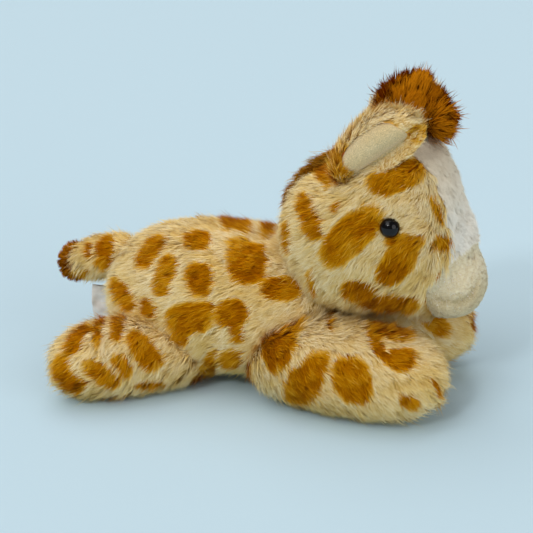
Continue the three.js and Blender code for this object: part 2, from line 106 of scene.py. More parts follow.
PAW_BEADS = 0.3  # of a leg's length, how much of its end holds beads
ARCH_MIDDLE, ARCH_SPREAD, ARCH_RISE = 14, 22, 6  # of the belly between the legs
BLAZE_BACK, BLAZE_HALF, BLAZE_LOW = 119, 26, 80  # where it starts, its half width and its lower end
# The plane |y| + ax + bz = c that the crease of the mouth lies in: a and b, c, and the length of its normal
MOUTH_SLOPES, MOUTH_REACH, MOUTH_STEEPNESS = (0.377, 0.597), 128.6, 1.224
MANE_STRANDS, MANE_RUN, MANE_FOOT = 7000, 66, 114.3  # how many, how far along the head, how low they start
EYE_PLACE = (114.8, 126.5)
EYE_TURN = 10
EYE_DOME, EYE_SINK, EYE_CLEARING = 5.4, 1.6, 6.6  # height, how deep it sits, how far off the pile stays
SHANK_RADIUS, SHANK_LENGTH = 2, 11
# The forelock's two puffs under their pile: middle and half sizes
FORELOCK = [((116.5, 0, 185.5), (13, 12, 15.5)), ((131, 0, 180), (5, 7, 8.5))]
FORELOCK_FOOT = (116, 0, 172)
# The label's ribbon, doubled over and sewn into the seam under the tail
LABEL_SEAM, LABEL_REACH, LABEL_OPENING, LABEL_BOTTOM = -77, 18.5, 1.5, 28
LABEL_WIDTH, LABEL_LENGTH = 24.5, 38
FLOOR_HALF = 2e4
MIRRORED_SKY = 0.2  # of the sky's light, what gloss mirrors

# The view that the printed patches are traced in: a square of 533 points from this camera
CAMERA_TARGET = np.array([26.5, 1.06, 76.8])
CAMERA_WAY = np.array([-0.243, 0.908, -0.342])
CAMERA_DISTANCE, CAMERA_LENS, SENSOR = 850, 88.3, 36
VIEW_SIZE = 533

# Printed patches in that view: middle, two half axes, squareness
TORSO_PATCHES = [
    ((149, 252), (12, -17), (8, 5), 2.8), ((164, 275), (7, -21), (8.5, 2.5), 2.8),
    ((196, 239), (14, 0), (-1, -11), 2.6), ((198, 279), (14, 2), (0, -18), 2.6),
    ((246, 261), (20, 2), (-1, -23), 4.0), ((234, 220), (17, 1), (0, -7), 2.6),
    ((268, 224), (9, 0), (0, -8), 2.6), ((121, 295), (8, 16), (8, -3), 2.8),
    ((147, 308), (8, 0), (3, 11), 2.6), ((278, 289), (21, 1), (0, -12), 2.6),
    ((188, 319), (23, -2), (0, 16), 2.8), ((181, 337), (9, 0), (0, 11), 2.4),
    ((231, 313), (16, -2), (0, 14), 2.8), ((235, 331), (7, 0), (2, 12), 2.4),
    ((230, 361), (11, 0), (0, -10), 2.6), ((206, 371), (10, -2), (0, 8), 2.4),
]
HEAD_PATCHES = [
    # The first patch below, above the eye, is grown into the shade under the ear: partly print, partly
    # painted shade
    ((394, 178), (30, -11), (5, 14), 2.6), ((348, 238), (27, -25), (13, 13), 2.6),
    ((307, 218), (9, 25), (9, -3), 2.8), ((403, 243), (20, 0), (0, 8), 2.6),
    ((396, 264), (18, -2), (-6, 23), 2.6), ((436, 213), (5, 3), (4, 13), 2.6),
    ((441, 245), (11, 1), (0, 8), 2.4), ((357, 292), (17, 1), (0, 11), 2.4),
    # Under the chin, the first patch below is partly brown print and partly painted shade that the chin casts
    # on the throat
    ((387, 305), (33, 3), (0, 9), 2.2), ((438, 280), (3, 1), (0, 6), 2.2),
    ((325, 168), (10, -9), (7, 10), 2.6), ((341, 157), (6, -2), (2, 18), 2.8),
    ((286, 238), (4, 0), (2, 17), 2.4), ((312, 285), (3, -1), (4, 14), 2.2),
    ((335, 209), (3, -2), (2, 5), 2.0),
]
FRONT_PATCHES = [
    ((281, 338), (19, -6), (-7, 26), 2.8), ((304, 387), (19, -3), (-5, 24), 3.0),
    ((353, 382), (19, 2), (2, 24), 3.0), ((392, 324), (24, 4), (0, 12), 2.8),
    ((379, 345), (8, 2), (6, 15), 2.6), ((402, 360), (17, 1), (0, 13), 2.6),
    ((410, 404), (11, 2), (0, 8), 2.4), ((332, 322), (4, -1), (1, 6), 2.2),
    ((327, 310), (8, 3), (1, 5), 2.2), ((437, 388), (3, 0), (3, 11), 2.2),
]
FAR_FRONT_PATCHES = [
    # The first patch below, on the far leg's inner top, is partly brown print and partly painted shade under
    # the chin
    ((435, 322), (14, 14), (-8, 7), 2.6), ((460, 361), (10, -2), (0, 11), 2.6),
    ((474, 325), (4, 1), (0, 12), 2.4),
]
HIND_PATCHES = [
    ((143, 351), (15, 19), (10, -7), 2.8), ((116, 324), (7, 0), (0, 13), 2.8),
    ((98, 323), (-6, 12), (4, 2), 2.6), ((75, 337), (11, -14), (6, 4), 2.8),
    ((65, 378), (13, 17), (7, -6), 2.8), ((101, 376), (18, 12), (-5, 8), 2.6),
    ((122, 367), (9, 11), (6, -5), 2.6), ((150, 386), (16, -1), (0, 4), 2.2),
]
TAIL_PATCHES = [
    ((102, 253), (9, 0), (1, -19), 2.8), ((130, 243), (5, -8), (5, 3), 2.4),
    ((86, 251), (4, 0), (0, 10), 2.2),
]
PATCH_REACH = 24  # the longest half axis that a traced patch may have on the cloth
PATCH_DEPTH = (4, 0.6)  # how far off its plane a patch holds: a length, and a share of its longer half axis
PATCH_EDGE = (1.4, 0.64)  # where its colour starts and is full, in half axes
PATCH_WAVES = ((0.15, 8), (0.08, 3))  # height and size of the waves along its edge

# The pile of the parts that the plain coat doesn't cover
BLAZE_PILE = dict(density=7.5, length=4.6, width=0.34, lift=(34, 8), tuft=6, pull=0.03, sway=0.45)
MUZZLE_NAP = dict(density=8, length=1.5, width=0.36, lift=(42, 20), tuft=2.4, pull=0.3, sway=1.2)
FORELOCK_PILE = dict(density=6.5, length=12, width=0.45, lift=(70, 30), tuft=6.5, pull=0.6, sway=0.8, steps=4,
                     guard=0.03)


# Numbers and noise


def unit(vectors):
    """Each vector divided by its own length."""
    return vectors / np.maximum(np.linalg.norm(vectors, axis=-1, keepdims=True), 1e-12)


def smoothstep(low, high, x):
    """3t^2 - 2t^3, where t runs from 0 at low to 1 at high."""
    t = np.clip((x - low) / (high - low), 0, 1)
    return t * t * (3 - 2 * t)


def rounded(x, power):
    """x to the power 2/n with its sign kept, which squares off a circle."""
    return np.sign(x) * np.abs(x) ** (2 / power)


def eased(x, places, values):
    """A smooth curve through given points: cubic pieces whose slopes are those of the neighbours' chords."""
    slopes = np.gradient(values, places)
    i = np.clip(np.searchsorted(places, x) - 1, 0, len(places) - 2)
    gap = places[i + 1] - places[i]
    t = np.clip((x - places[i]) / gap, 0, 1)
    rest = 1 - t
    start = values[i] * (1 + 2 * t) * rest**2 + slopes[i] * gap * t * rest**2
    return start + values[i + 1] * t**2 * (3 - 2 * t) - slopes[i + 1] * gap * t**2 * rest


HASH_STEPS = (374761393, 668265263, 1274126177, 951274213)


def hashed(cells, seed):
    """A number from 0 to 1 for each cell of a lattice, the same on every run."""
    n = cells[..., 0] * HASH_STEPS[0] + cells[..., 1] * HASH_STEPS[1] + cells[..., 2] * HASH_STEPS[3]
    n = n + seed * HASH_STEPS[2]
    n = (n ^ (n >> 13)) * HASH_STEPS[2] & 0x7FFFFFFF
    n = (n ^ (n >> 15)) * HASH_STEPS[0] & 0x7FFFFFFF
    return ((n ^ (n >> 12)) & 0xFFFFFF) / 0x1000000


def noise(points, scale, seed):
    """Random numbers at the corners of a lattice, smoothly mixed in between, from -1 to 1."""
    q = points / scale
    cell = np.floor(q).astype(np.int64)
    t = q - cell
    t = t * t * (3 - 2 * t)
    total = np.zeros(len(points))
    for corner in itertools.product((0, 1), repeat=3):
        weight = np.prod(np.where(corner, t, 1 - t), axis=1)
        total += weight * hashed(cell + np.array(corner), seed)
    return 2 * total - 1


def nearest_tuft(points, size, seed):
    """The nearest of one random point in every cell of a lattice, and a random number of its own."""
    cell = np.floor(points / size).astype(np.int64)
    best = np.full(len(points), np.inf)
    place = np.zeros_like(points)
    luck = np.zeros(len(points))
    for step in itertools.product((-1, 0, 1), repeat=3):
        near = cell + np.array(step)
        jitter = np.stack([hashed(near, seed + k) for k in range(3)], -1)
        middle = (near + jitter) * size
        gap = ((points - middle) ** 2).sum(1)
        closer = gap < best
        best[closer] = gap[closer]
        place[closer] = middle[closer]
        luck[closer] = hashed(near[closer], seed + 7)
    return place, luck


# Forms, in millimetres


class Bolster:
    """A stuffed sausage. The ring at u lies at half * r(sin u) along its axis, and a point at v on it lies at
    r(cos u) * (width cos v, height sin v), where r() raises a number to the power 2/n and keeps its sign."""

    def __init__(self, middle, heading, size, power, droop=0):
        turn, dip = math.radians(heading), math.radians(droop)
        self.middle = np.array(middle, float)
        level = math.cos(dip)
        self.along = np.array([math.cos(turn) * level, math.sin(turn) * level, -math.sin(dip)])
        self.side = np.array([-math.sin(turn), math.cos(turn), 0])
        self.up = np.cross(self.along, self.side)
        self.half = np.array(size, float) / 2
        self.power = power

    def local(self, points):
        """How far points lie from the middle along the axis, to its side and upwards."""
        away = points - self.middle
        return np.stack([away @ self.along, away @ self.side, away @ self.up], -1)

    def level(self, points):
        """How many times its own size a form through each point would be, so below 1 is inside."""
        x, y, z = np.abs(self.local(points) / self.half).T
        return (x**self.power + np.hypot(y, z) ** self.power) ** (1 / self.power)

    def rings(self, inset, count=40, sides=56):
        """The rings of a form that is smaller by an inset all round, and the points that close it."""
        u = np.linspace(-np.pi / 2, np.pi / 2, count + 2)[1:-1, None]
        v = np.linspace(0, 2 * np.pi, sides, endpoint=False)[None, :]
        half = self.half - inset
        out = np.cos(u) ** (2 / self.power)
        x = half[0] * rounded(np.sin(u), self.power) + 0 * v
        y, z = half[1] * out * np.cos(v), half[2] * out * np.sin(v)
        placed = x[..., None] * self.along + y[..., None] * self.side + z[..., None] * self.up
        ends = [self.middle - self.along * half[0], self.middle + self.along * half[0]]
        return placed + self.middle, ends


class Egg:
    """The head's egg: superelliptic sections whose underside, top and width are smooth curves along it."""

    def section(self, x):
        """Middle height, half height and half width of the section at x."""
        share = np.clip((x - HEAD_BACK) / HEAD_LENGTH, 0, 1)
        low, top, wide = (eased(share, HEAD_STATIONS[:, 0], HEAD_STATIONS[:, k]) for k in (1, 2, 3))
        return CHIN + HEAD_HEIGHT * (low + top) / 2, HEAD_HEIGHT * (top - low) / 2, HEAD_WIDTH / 2 * wide

    def level(self, points):
        """How many times its own size the section through each point would be, and more beyond the ends."""
        middle, tall, wide = self.section(points[:, 0])
        y = np.abs(points[:, 1] / np.maximum(wide, 0.1))
        z = np.abs((points[:, 2] - middle) / np.maximum(tall, 0.1))
        beyond = np.abs(points[:, 0] - HEAD_BACK - HEAD_LENGTH / 2) > HEAD_LENGTH / 2
        return (y**HEAD_POWER + z**HEAD_POWER) ** (1 / HEAD_POWER) + 9 * beyond

    def underside(self, x, y):
        """Height of the skin below a place: the middle less t (1 - |y/w|^n)^(1/n), where t and w are the half
        height and half width."""
        middle, tall, wide = self.section(x)
        rise = np.clip(1 - np.abs(y / np.maximum(wide, 0.1)) ** HEAD_POWER, 0, 1) ** (1 / HEAD_POWER)
        return middle - tall * rise

    def rings(self, inset, count=60, sides=72):
        """Sections at x = back + length (1 - cos u) / 2, made smaller by an inset, and the points that close
        them."""
        share = (1 - np.cos(np.linspace(0, np.pi, count + 2)[1:-1])) / 2
        x = HEAD_BACK + HEAD_LENGTH * share
        middle, tall, wide = self.section(x)
        v = np.linspace(0, 2 * np.pi, sides, endpoint=False)
        y = np.maximum(wide - inset, wide / 2)[:, None] * rounded(np.cos(v), HEAD_POWER)
        z = middle[:, None] + np.maximum(tall - inset, tall / 2)[:, None] * rounded(np.sin(v), HEAD_POWER)
        x = HEAD_BACK + HEAD_LENGTH / 2 + (x - HEAD_BACK - HEAD_LENGTH / 2) * (1 - 2 * inset / HEAD_LENGTH)
        ends = [np.array([x[0] - 0.5, 0, middle[0]]), np.array([x[-1] + 0.5, 0, middle[-1]])]
        return np.stack([x[:, None] + 0 * y, y, z], -1), ends


def leg_form(spec, side):
    """A leg as a bolster that lies on the floor and turns about its seam at the torso."""
    turn = math.radians(spec["heading"])
    reach = spec["length"] * (0.5 - spec["root"])
    x, y = spec["pivot"]
    middle = (x + reach * math.cos(turn), side * (y + reach * math.sin(turn)), spec["thick"] / 2 - 0.5)
    size = (spec["length"], spec["thick"], spec["thick"])
    return Bolster(middle, side * spec["heading"], size, spec["power"])


TORSO = Bolster(TORSO_MIDDLE, 0, TORSO_SIZE, TORSO_POWER)
EGG = Egg()
MUZZLE = Bolster(MUZZLE_MIDDLE, 0, [2 * half for half in MUZZLE_HALF], 2)
FRONT = {name: leg_form(FRONT_LEG, side) for name, side in SIDES.items()}
HIND = {name: leg_form(HIND_LEG, side) for name, side in SIDES.items()}
TAIL_AXIS = np.array([-math.cos(math.radians(TAIL_DROOP)), 0, -math.sin(math.radians(TAIL_DROOP))])
TAIL_MIDDLE = np.array(TAIL_ROOT) + TAIL_AXIS * TAIL_SIZE[0] * (0.5 - TAIL_BURIED)
TAIL = Bolster(TAIL_MIDDLE, 180, TAIL_SIZE, TAIL_POWER, droop=TAIL_DROOP)
TUFT_MIDDLE = TAIL_MIDDLE + TAIL_AXIS * (TAIL_SIZE[0] / 2 - TUFT_INSET)


def outside_of(points, form, gap):
    """Points inside a form moved straight out from its middle until they clear it by a gap."""
    level = form.level(points)
    room = 1 + gap / form.half.min()
    inside = level < room
    pushed = form.middle + (points - form.middle) * (room / np.maximum(level, 0.05))[:, None]
    return np.where(inside[:, None], pushed, points)


def deep_in(points, form, depth):
    """Whether points lie deeper than a depth inside a form."""
    return form.level(points) < 1 - depth / form.half.min()


def clear_of(points, forms, depth):
    """Whether points lie no deeper than a depth in any of several forms."""
    return ~np.any([deep_in(points, form, depth) for form in forms], axis=0)


def lumps(points, *parts):
    """A sum of noises, each given by its height, size and seed."""
    return sum(height * noise(points, size, seed) for height, size, seed in parts)


# Meshes


def grid_faces(index):
    """Quads between the neighbours in a grid of vertex numbers."""
    return np.stack([index[:-1, :-1], index[:-1, 1:], index[1:, 1:], index[1:, :-1]], -1).reshape(-1, 4)


def skin_faces(count, sides):
    """Quads between neighbouring rings, and a fan at either end."""
    ring = np.arange(count * sides).reshape(count, sides)
    closed = np.column_stack([ring, ring[:, 0]])
    first, last = count * sides, count * sides + 1
    fan = [[first, b, a] for a, b in zip(closed[0], closed[0, 1:])]
    fan += [[a, b, last] for a, b in zip(closed[-1], closed[-1, 1:])]
    return grid_faces(closed).tolist() + np.array(fan).tolist()


def add_piece(name, vertices, faces, material=None):
    """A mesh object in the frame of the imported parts, from points in millimetres."""
    mesh = bpy.data.meshes.new(name)
    mesh.from_pydata((np.asarray(vertices) * MM).tolist(), [], faces)
    mesh.update()
    piece = bpy.data.objects.new(name, mesh)
    bpy.context.scene.collection.objects.link(piece)
    if material:
        mesh.materials.append(material)
    smooth(piece)
    return piece


def smooth(piece):
    """Faces shaded without edges."""
    piece.data.polygons.foreach_set("use_smooth", np.ones(len(piece.data.polygons), bool))


def closed_form(rings, ends):
    """Vertices and faces of a form that is closed by a point at either end."""
    count, sides = rings.shape[:2]
    return np.concatenate([rings.reshape(-1, 3), np.array(ends)]), skin_faces(count, sides)


def joined(*forms):
    """Several closed forms as one list of vertices and one of faces."""
    vertices, faces = [], []
    for points, polygons in forms:
        start = sum(len(v) for v in vertices)
        vertices.append(points)
        faces += [[i + start for i in polygon] for polygon in polygons]
    return np.concatenate(vertices), faces


def places(piece):
    """A piece's vertices in millimetres."""
    co = np.empty(len(piece.data.vertices) * 3, np.float32)
    piece.data.vertices.foreach_get("co", co)
    return co.reshape(-1, 3).astype(float) / MM


def place(piece, vertices):
    """The piece's vertices move to places in millimetres."""
    piece.data.vertices.foreach_set("co", (vertices * MM).astype(np.float32).ravel())
    piece.data.update()


def vertex_normals(piece):
    """The smooth normal at each of a piece's vertices."""
    n = np.empty(len(piece.data.vertices) * 3, np.float32)
    piece.data.vertices.foreach_get("normal", n)
    return n.reshape(-1, 3).astype(float)


def settle(piece):
    """The modifiers' result becomes the piece's own mesh."""
    bpy.context.view_layer.update()
    depsgraph = bpy.context.evaluated_depsgraph_get()
    made = bpy.data.meshes.new_from_object(piece.evaluated_get(depsgraph))
    old = piece.data
    piece.modifiers.clear()
    piece.data = made
    bpy.data.meshes.remove(old)
    made.name = piece.name
    smooth(piece)


SWELL_FRAMES, SWELL_PRESSURE, SWELL_MASS, SWELL_QUALITY = 20, 4, 0.3, 4


def stuffed(name, form, voxel, swell, shape=None):
    """A closed skin with even faces, blown up a little as cloth, shaped by a last function and subdivided."""
    vertices, faces = form
    piece = add_piece(name, vertices, faces)
    even = piece.modifiers.new("Even", "REMESH")
    even.mode = "VOXEL"
    even.voxel_size = voxel * MM
    soften = piece.modifiers.new("Soften", "SMOOTH")
    soften.iterations = 3
    settle(piece)
    if swell:
        start = places(piece)
        cloth = piece.modifiers.new("Stuffing", "CLOTH")
        cloth.settings.quality = SWELL_QUALITY
        cloth.settings.mass = SWELL_MASS
        cloth.settings.use_pressure = True
        cloth.settings.uniform_pressure_force = SWELL_PRESSURE
        cloth.settings.effector_weights.gravity = 0
        for step in range(1, SWELL_FRAMES + 1):
            bpy.context.scene.frame_set(step)
        settle(piece)
        bpy.context.scene.frame_set(1)
        travel = places(piece) - start
        far = np.linalg.norm(travel, axis=1, keepdims=True)
        place(piece, start + travel * np.minimum(1, swell / np.maximum(far, 1e-6)))
    if shape:
        place(piece, shape(places(piece), vertex_normals(piece)))
    finer = piece.modifiers.new("Finer", "SUBSURF")
    finer.levels = finer.render_levels = 1
    settle(piece)
    return piece


# Materials


def linear(colour):
    """A screen colour from 0 to 255 as the light that it stands for."""
    return [((c / 255 + 0.055) / 1.055) ** 2.4 if c > 10.31 else c / 255 / 12.92 for c in colour]


class Finish:
    """A principled material whose constants sit on the shader's own sockets, with the nodes that feed it."""

    def __init__(self, name, roughness, sheen=0.0, specular=0.5):
        self.material = bpy.data.materials.new(name)
        self.material.use_nodes = True
        self.nodes, self.links = self.material.node_tree.nodes, self.material.node_tree.links
        self.surface = self.nodes["Principled BSDF"]
        values = {"Roughness": roughness, "Sheen Weight": sheen, "Specular IOR Level": specular}
        for socket, value in values.items():
            self.surface.inputs[socket].default_value = value

    def pattern(self, kind, **values):
        """A texture node on Object coordinates."""
        where, made = self.nodes.new("ShaderNodeTexCoord"), self.nodes.new(kind)
        for socket, value in values.items():
            made.inputs[socket].default_value = value
        self.links.new(where.outputs["Object"], made.inputs["Vector"])
        return made

    def attribute(self, name):
        node = self.nodes.new("ShaderNodeAttribute")
        node.attribute_name = name
        return node.outputs["Fac"]

    def ramp(self, value, stops):
        """Colours along a value, from stops of a position and a screen colour."""
        node = self.nodes.new("ShaderNodeValToRGB")
        elements = node.color_ramp.elements
        while len(elements) < len(stops):
            elements.new(0.5)
        for element, (position, colour) in zip(elements, stops):
            element.position = position
            element.color = (*linear(colour), 1)
        self.links.new(value, node.inputs["Fac"])
        return node.outputs["Color"]

    def mix(self, a, b, factor=1.0, kind="MIX"):
        """Two colours mixed. Each of the three is a socket, or a value for the mix's own."""
        node = self.nodes.new("ShaderNodeMix")
        node.data_type, node.blend_type = "RGBA", kind
        for socket, given in (("A", a), ("B", b), ("Factor", factor)):
            if isinstance(given, bpy.types.NodeSocket):
                self.links.new(given, node.inputs[socket])
            else:
                node.inputs[socket].default_value = given
        return node.outputs["Result"]

    def colour(self, source):
        self.links.new(source, self.surface.inputs["Base Color"])

    def bump(self, height, strength, distance):
        node = self.nodes.new("ShaderNodeBump")
        node.inputs["Strength"].default_value = strength
        node.inputs["Distance"].default_value = distance * MM
        self.links.new(height, node.inputs["Height"])
        self.links.new(node.outputs["Normal"], self.surface.inputs["Normal"])


STRAND_UV = "OFBake"
SHADING = (0.84, 0.14, 0.1)  # how much a strand is shaded by the cloth's normal, its own and its way
TAPER, GUARD_EXCESS = 0.35, 0.4
# What changes a strand's turn, length, bend and tone: noises by their height and size, its tuft, and chance
TURN_NOISES, TURN_TUFT, TURN_CHANCE = ((1, 21), (0.35, 6)), 1.5, 0.2
LENGTH_NOISE, LENGTH_TUFT, LENGTH_CHANCE = (0.16, 9), 0.2, 0.1
BEND_TUFT, BEND_CHANCE = 0.3, 0.12
TONE_TUFT, TONE_NOISE, TONE_CHANCE = 0.6, (0.45, 19), 0.2
TWIST, WIDTH_RANGE = 0.7, (0.75, 1.25)


def pile_material(name, tones, root_shades, roughness=0.8, sheen=0.03):
    """Strands: the colour along u of their own map, times a painted shade that deepens towards the root along
    v.
    """
    finish = Finish(name, roughness, sheen, specular=0.0)
    uv = finish.nodes.new("ShaderNodeUVMap")
    uv.uv_map = STRAND_UV
    split = finish.nodes.new("ShaderNodeSeparateXYZ")
    finish.links.new(uv.outputs["UV"], split.inputs["Vector"])
    # depth is the painted shade along v, deepest at the roots
    tone, depth = finish.ramp(split.outputs["X"], tones), finish.ramp(split.outputs["Y"], root_shades)
    finish.colour(finish.mix(tone, depth, kind="MULTIPLY"))
    return finish.material


def hide_material(name, tones, grain_scale=900, bump=0.3, sheen=0.2, shade_tint=(1.0, 0.84, 0.52)):
    """Backing cloth under pile: the same colours by the hide's own coat value, darkened and tinted as painted
    shade, with a knitted grain, and pale where its pale value says so."""
    finish = Finish(name, 0.9, sheen, specular=0.2)
    grain = finish.pattern("ShaderNodeTexNoise", Scale=grain_scale, Detail=3).outputs["Fac"]
    # The knit's tones are darkened and tinted as painted shade
    dark, light = ([255 * CLOTH_SHADE * share * part for part in shade_tint] for share in (0.8, 1.0))
    print_tone = finish.ramp(finish.attribute("coat"), tones)
    knit = finish.ramp(grain, [(0.3, dark), (0.7, light)])
    cloth = finish.mix(print_tone, knit, kind="MULTIPLY")
    finish.colour(finish.mix(cloth, (*linear(PALE_CLOTH), 1), finish.attribute("pale")))
    finish.bump(grain, bump, 0.3)
    return finish.material


def grained_material(name, tones, scale, bump, roughness, sheen=0.0):
    """A surface with a fine irregular grain in two tones."""
    finish = Finish(name, roughness, sheen, 0.3)
    grain = finish.pattern("ShaderNodeTexNoise", Scale=scale, Detail=6, Distortion=0.8).outputs["Fac"]
    finish.colour(finish.ramp(grain, [(0.35, tones[0]), (0.65, tones[1])]))
    finish.bump(grain, bump, 0.6)
    return finish.material


def made_once(name, maker, *values):
    """The material of a name, made if it isn't there yet."""
    return bpy.data.materials.get(name) or maker(name, *values)


def core_material(name):
    """Brown pile near the locks' roots, darker than the locks: painted shade deep among them."""
    finish = Finish(name, 0.95, 0.1, 0.1)
    cloud = finish.pattern("ShaderNodeTexNoise", Scale=300).outputs["Fac"]
    finish.colour(finish.ramp(cloud, [(0.35, (70, 38, 8)), (0.65, (112, 64, 16))]))
    return finish.material


def satin_material():
    """Satin ribbon: fine ribs along the weft, and a soft random mottle of lighter and darker white."""
    finish = Finish("satin_ribbon", 0.38, 0.2, 0.5)
    ribs = finish.pattern("ShaderNodeTexWave", Scale=900, Distortion=1.5)
    ribs.bands_direction = "Z"
    mottle = finish.pattern("ShaderNodeTexNoise", Scale=140).outputs["Fac"]
    finish.colour(finish.ramp(mottle, [(0.3, (214, 206, 196)), (0.7, (244, 240, 234))]))
    finish.bump(ribs.outputs["Fac"], 0.25, 0.2)
    return finish.material


def eye_material(colour):
    """Black gloss with a faint cloud in it."""
    finish = Finish("eye_gloss", 0.04, specular=0.28)
    cloud = finish.pattern("ShaderNodeTexNoise", Scale=260).outputs["Fac"]
    eye = [255 * c ** (1 / 2.2) for c in colour]
    finish.colour(finish.ramp(cloud, [(0.3, eye), (0.75, [c * 1.3 + 2 for c in eye])]))
    return finish.material


CREAM_TONES = [
    (0.0, (208, 164, 76)), (0.16, (240, 212, 138)), (0.32, (253, 242, 208)),
    (0.44, (242, 204, 104)), (0.57, (226, 170, 34)), (0.69, (206, 138, 2)),
    (0.83, (178, 104, 0)), (1.0, (116, 60, 0)),
]
WHITE_TONES = [(0.0, (208, 190, 168)), (0.4, (240, 228, 206)), (0.7, (254, 246, 230)), (1.0, (255, 253, 246))]
VELOUR_TONES = [(0.0, (184, 164, 118)), (0.5, (236, 220, 180)), (1.0, (255, 248, 222))]
BROWN_TONES = [(0.0, (120, 64, 2)), (0.35, (176, 102, 6)), (0.65, (218, 140, 20)), (1.0, (250, 192, 72))]
# Painted shade along a strand, deepest at its root where the pile shades itself and none at its tip
CREAM_ROOT_SHADE = [
    (0.0, (218, 182, 112)), (0.4, (246, 230, 190)), (0.75, (254, 250, 240)), (1.0, (255, 255, 255)),
]
WHITE_ROOT_SHADE = [(0.0, (242, 235, 224)), (0.5, (253, 251, 248)), (1.0, (255, 255, 255))]
VELOUR_ROOT_SHADE = [(0.0, (232, 222, 202)), (1.0, (255, 255, 255))]
BROWN_ROOT_SHADE = [(0.0, (168, 150, 126)), (0.5, (230, 222, 208)), (1.0, (255, 255, 255))]
CREAM_CODE, PATCH_CODE = 0.21, 0.75  # where plain and printed pile lie along the cream tones
CODE_RANGE = (0.02, 0.98)
# The second number darkens the backing cloth: painted shade, as if its pile shaded it
PALE_CLOTH, CLOTH_SHADE = (242, 232, 216), 0.95


# The coat: strands of pile on a hide


def in_view(points):
    """Where points fall in the view, from its upper left corner."""
    way = unit(CAMERA_WAY)
    right = unit(np.cross(way, (0, 0, 1)))
    away = points - CAMERA_TARGET + way * CAMERA_DISTANCE
    scale = VIEW_SIZE * CAMERA_LENS / SENSOR / (away @ way)
    return VIEW_SIZE / 2 + np.stack([away @ right * scale, -(away @ np.cross(right, way)) * scale], -1)


def traced(hide, marks, neighbours=14):
    """Patches on the cloth for marks in the view. Near a mark the cloth is taken as a flat function of the
    view: the least squares plane through the nearest points that face the camera."""
    points, normals = places(hide), vertex_normals(hide)
    facing = normals @ CAMERA_WAY < -0.12
    points = (points + normals * HIDE_INSET)[facing]
    seen_at = in_view(points)
    found = []
    for middle, first, second, square in marks:
        away = seen_at - middle
        near = np.argsort((away**2).sum(1))[:neighbours]
        terms = np.column_stack([np.ones(neighbours), away[near]])
        flat = np.linalg.lstsq(terms, points[near], rcond=None)[0]
        axes = [np.array(axis) @ flat[1:] for axis in (first, second)]
        axes = [axis * min(1, PATCH_REACH / np.linalg.norm(axis)) for axis in axes]
        found.append((flat[0], *axes, square))
    return found


def patch_amount(points, patches, seed):
    """How far inside a printed patch each point lies. A patch is |a|^p + |b|^p < 1, where a and b count its
    two half axes from its middle, with a wavy and blurred edge."""
    amount = np.zeros(len(points))
    wave = lumps(points, (*PATCH_WAVES[0], seed), (*PATCH_WAVES[1], seed + 1))
    for middle, first, second, square in patches:
        away = points - middle
        a, b = np.linalg.pinv(np.column_stack([first, second])) @ away.T
        depth = np.abs(away @ unit(np.cross(first, second)))
        reach = (np.abs(a) ** square + np.abs(b) ** square) ** (1 / square)
        near = depth < PATCH_DEPTH[0] + PATCH_DEPTH[1] * max(np.linalg.norm(first), np.linalg.norm(second))
        amount = np.maximum(amount, near * smoothstep(*PATCH_EDGE, reach + wave))
    return amount


def spread_patches(hide, given, unseen, seed, gap, tries=700):
    """Further patches of random size on the cloth that a mask leaves free, with a gap between them."""
    rng = np.random.default_rng(seed)
    points, normals = places(hide), vertex_normals(hide)
    taken = [(middle, np.linalg.norm([first, second], axis=1).mean()) for middle, first, second, _ in given]
    free = np.flatnonzero(unseen)
    found = []
    for _ in range(tries if len(free) else 0):
        at = rng.choice(free)
        halves = rng.uniform(7.5, 16.5), rng.uniform(8.5, 18)
        if all(np.linalg.norm(points[at] - other) > sum(halves) / 2 + size + gap for other, size in taken):
            turn = rng.uniform(0, math.pi)
            first = unit(np.cross(normals[at], (math.cos(turn), math.sin(turn), 0.3)))
            taken.append((points[at], sum(halves) / 2))
            found.append((points[at], first * halves[0], np.cross(normals[at], first) * halves[1],
                          rng.uniform(2.4, 3.6)))
    return found


def scatter(piece, density, rng):
    """Points spread evenly over a piece, each at (1 - sqrt a), sqrt a (1 - b), sqrt a b of a triangle's
    corners, with the smooth normal there. The density is per square millimetre."""
    mesh = piece.data
    mesh.calc_loop_triangles()
    corners = np.empty(len(mesh.loop_triangles) * 3, np.int32)
    mesh.loop_triangles.foreach_get("vertices", corners)
    corners = corners.reshape(-1, 3)
    points, normals = places(piece), vertex_normals(piece)
    a, b, c = (points[corners[:, k]] for k in range(3))
    area = np.linalg.norm(np.cross(b - a, c - a), axis=1) / 2
    count = int(area.sum() * density)
    chosen = rng.choice(len(corners), count, p=area / area.sum())
    root, share = np.sqrt(rng.random(count)), rng.random(count)
    weights = np.stack([1 - root, root * (1 - share), root * share], -1)[..., None]
    at = (points[corners[chosen]] * weights).sum(1)
    return at, unit((normals[corners[chosen]] * weights).sum(1))


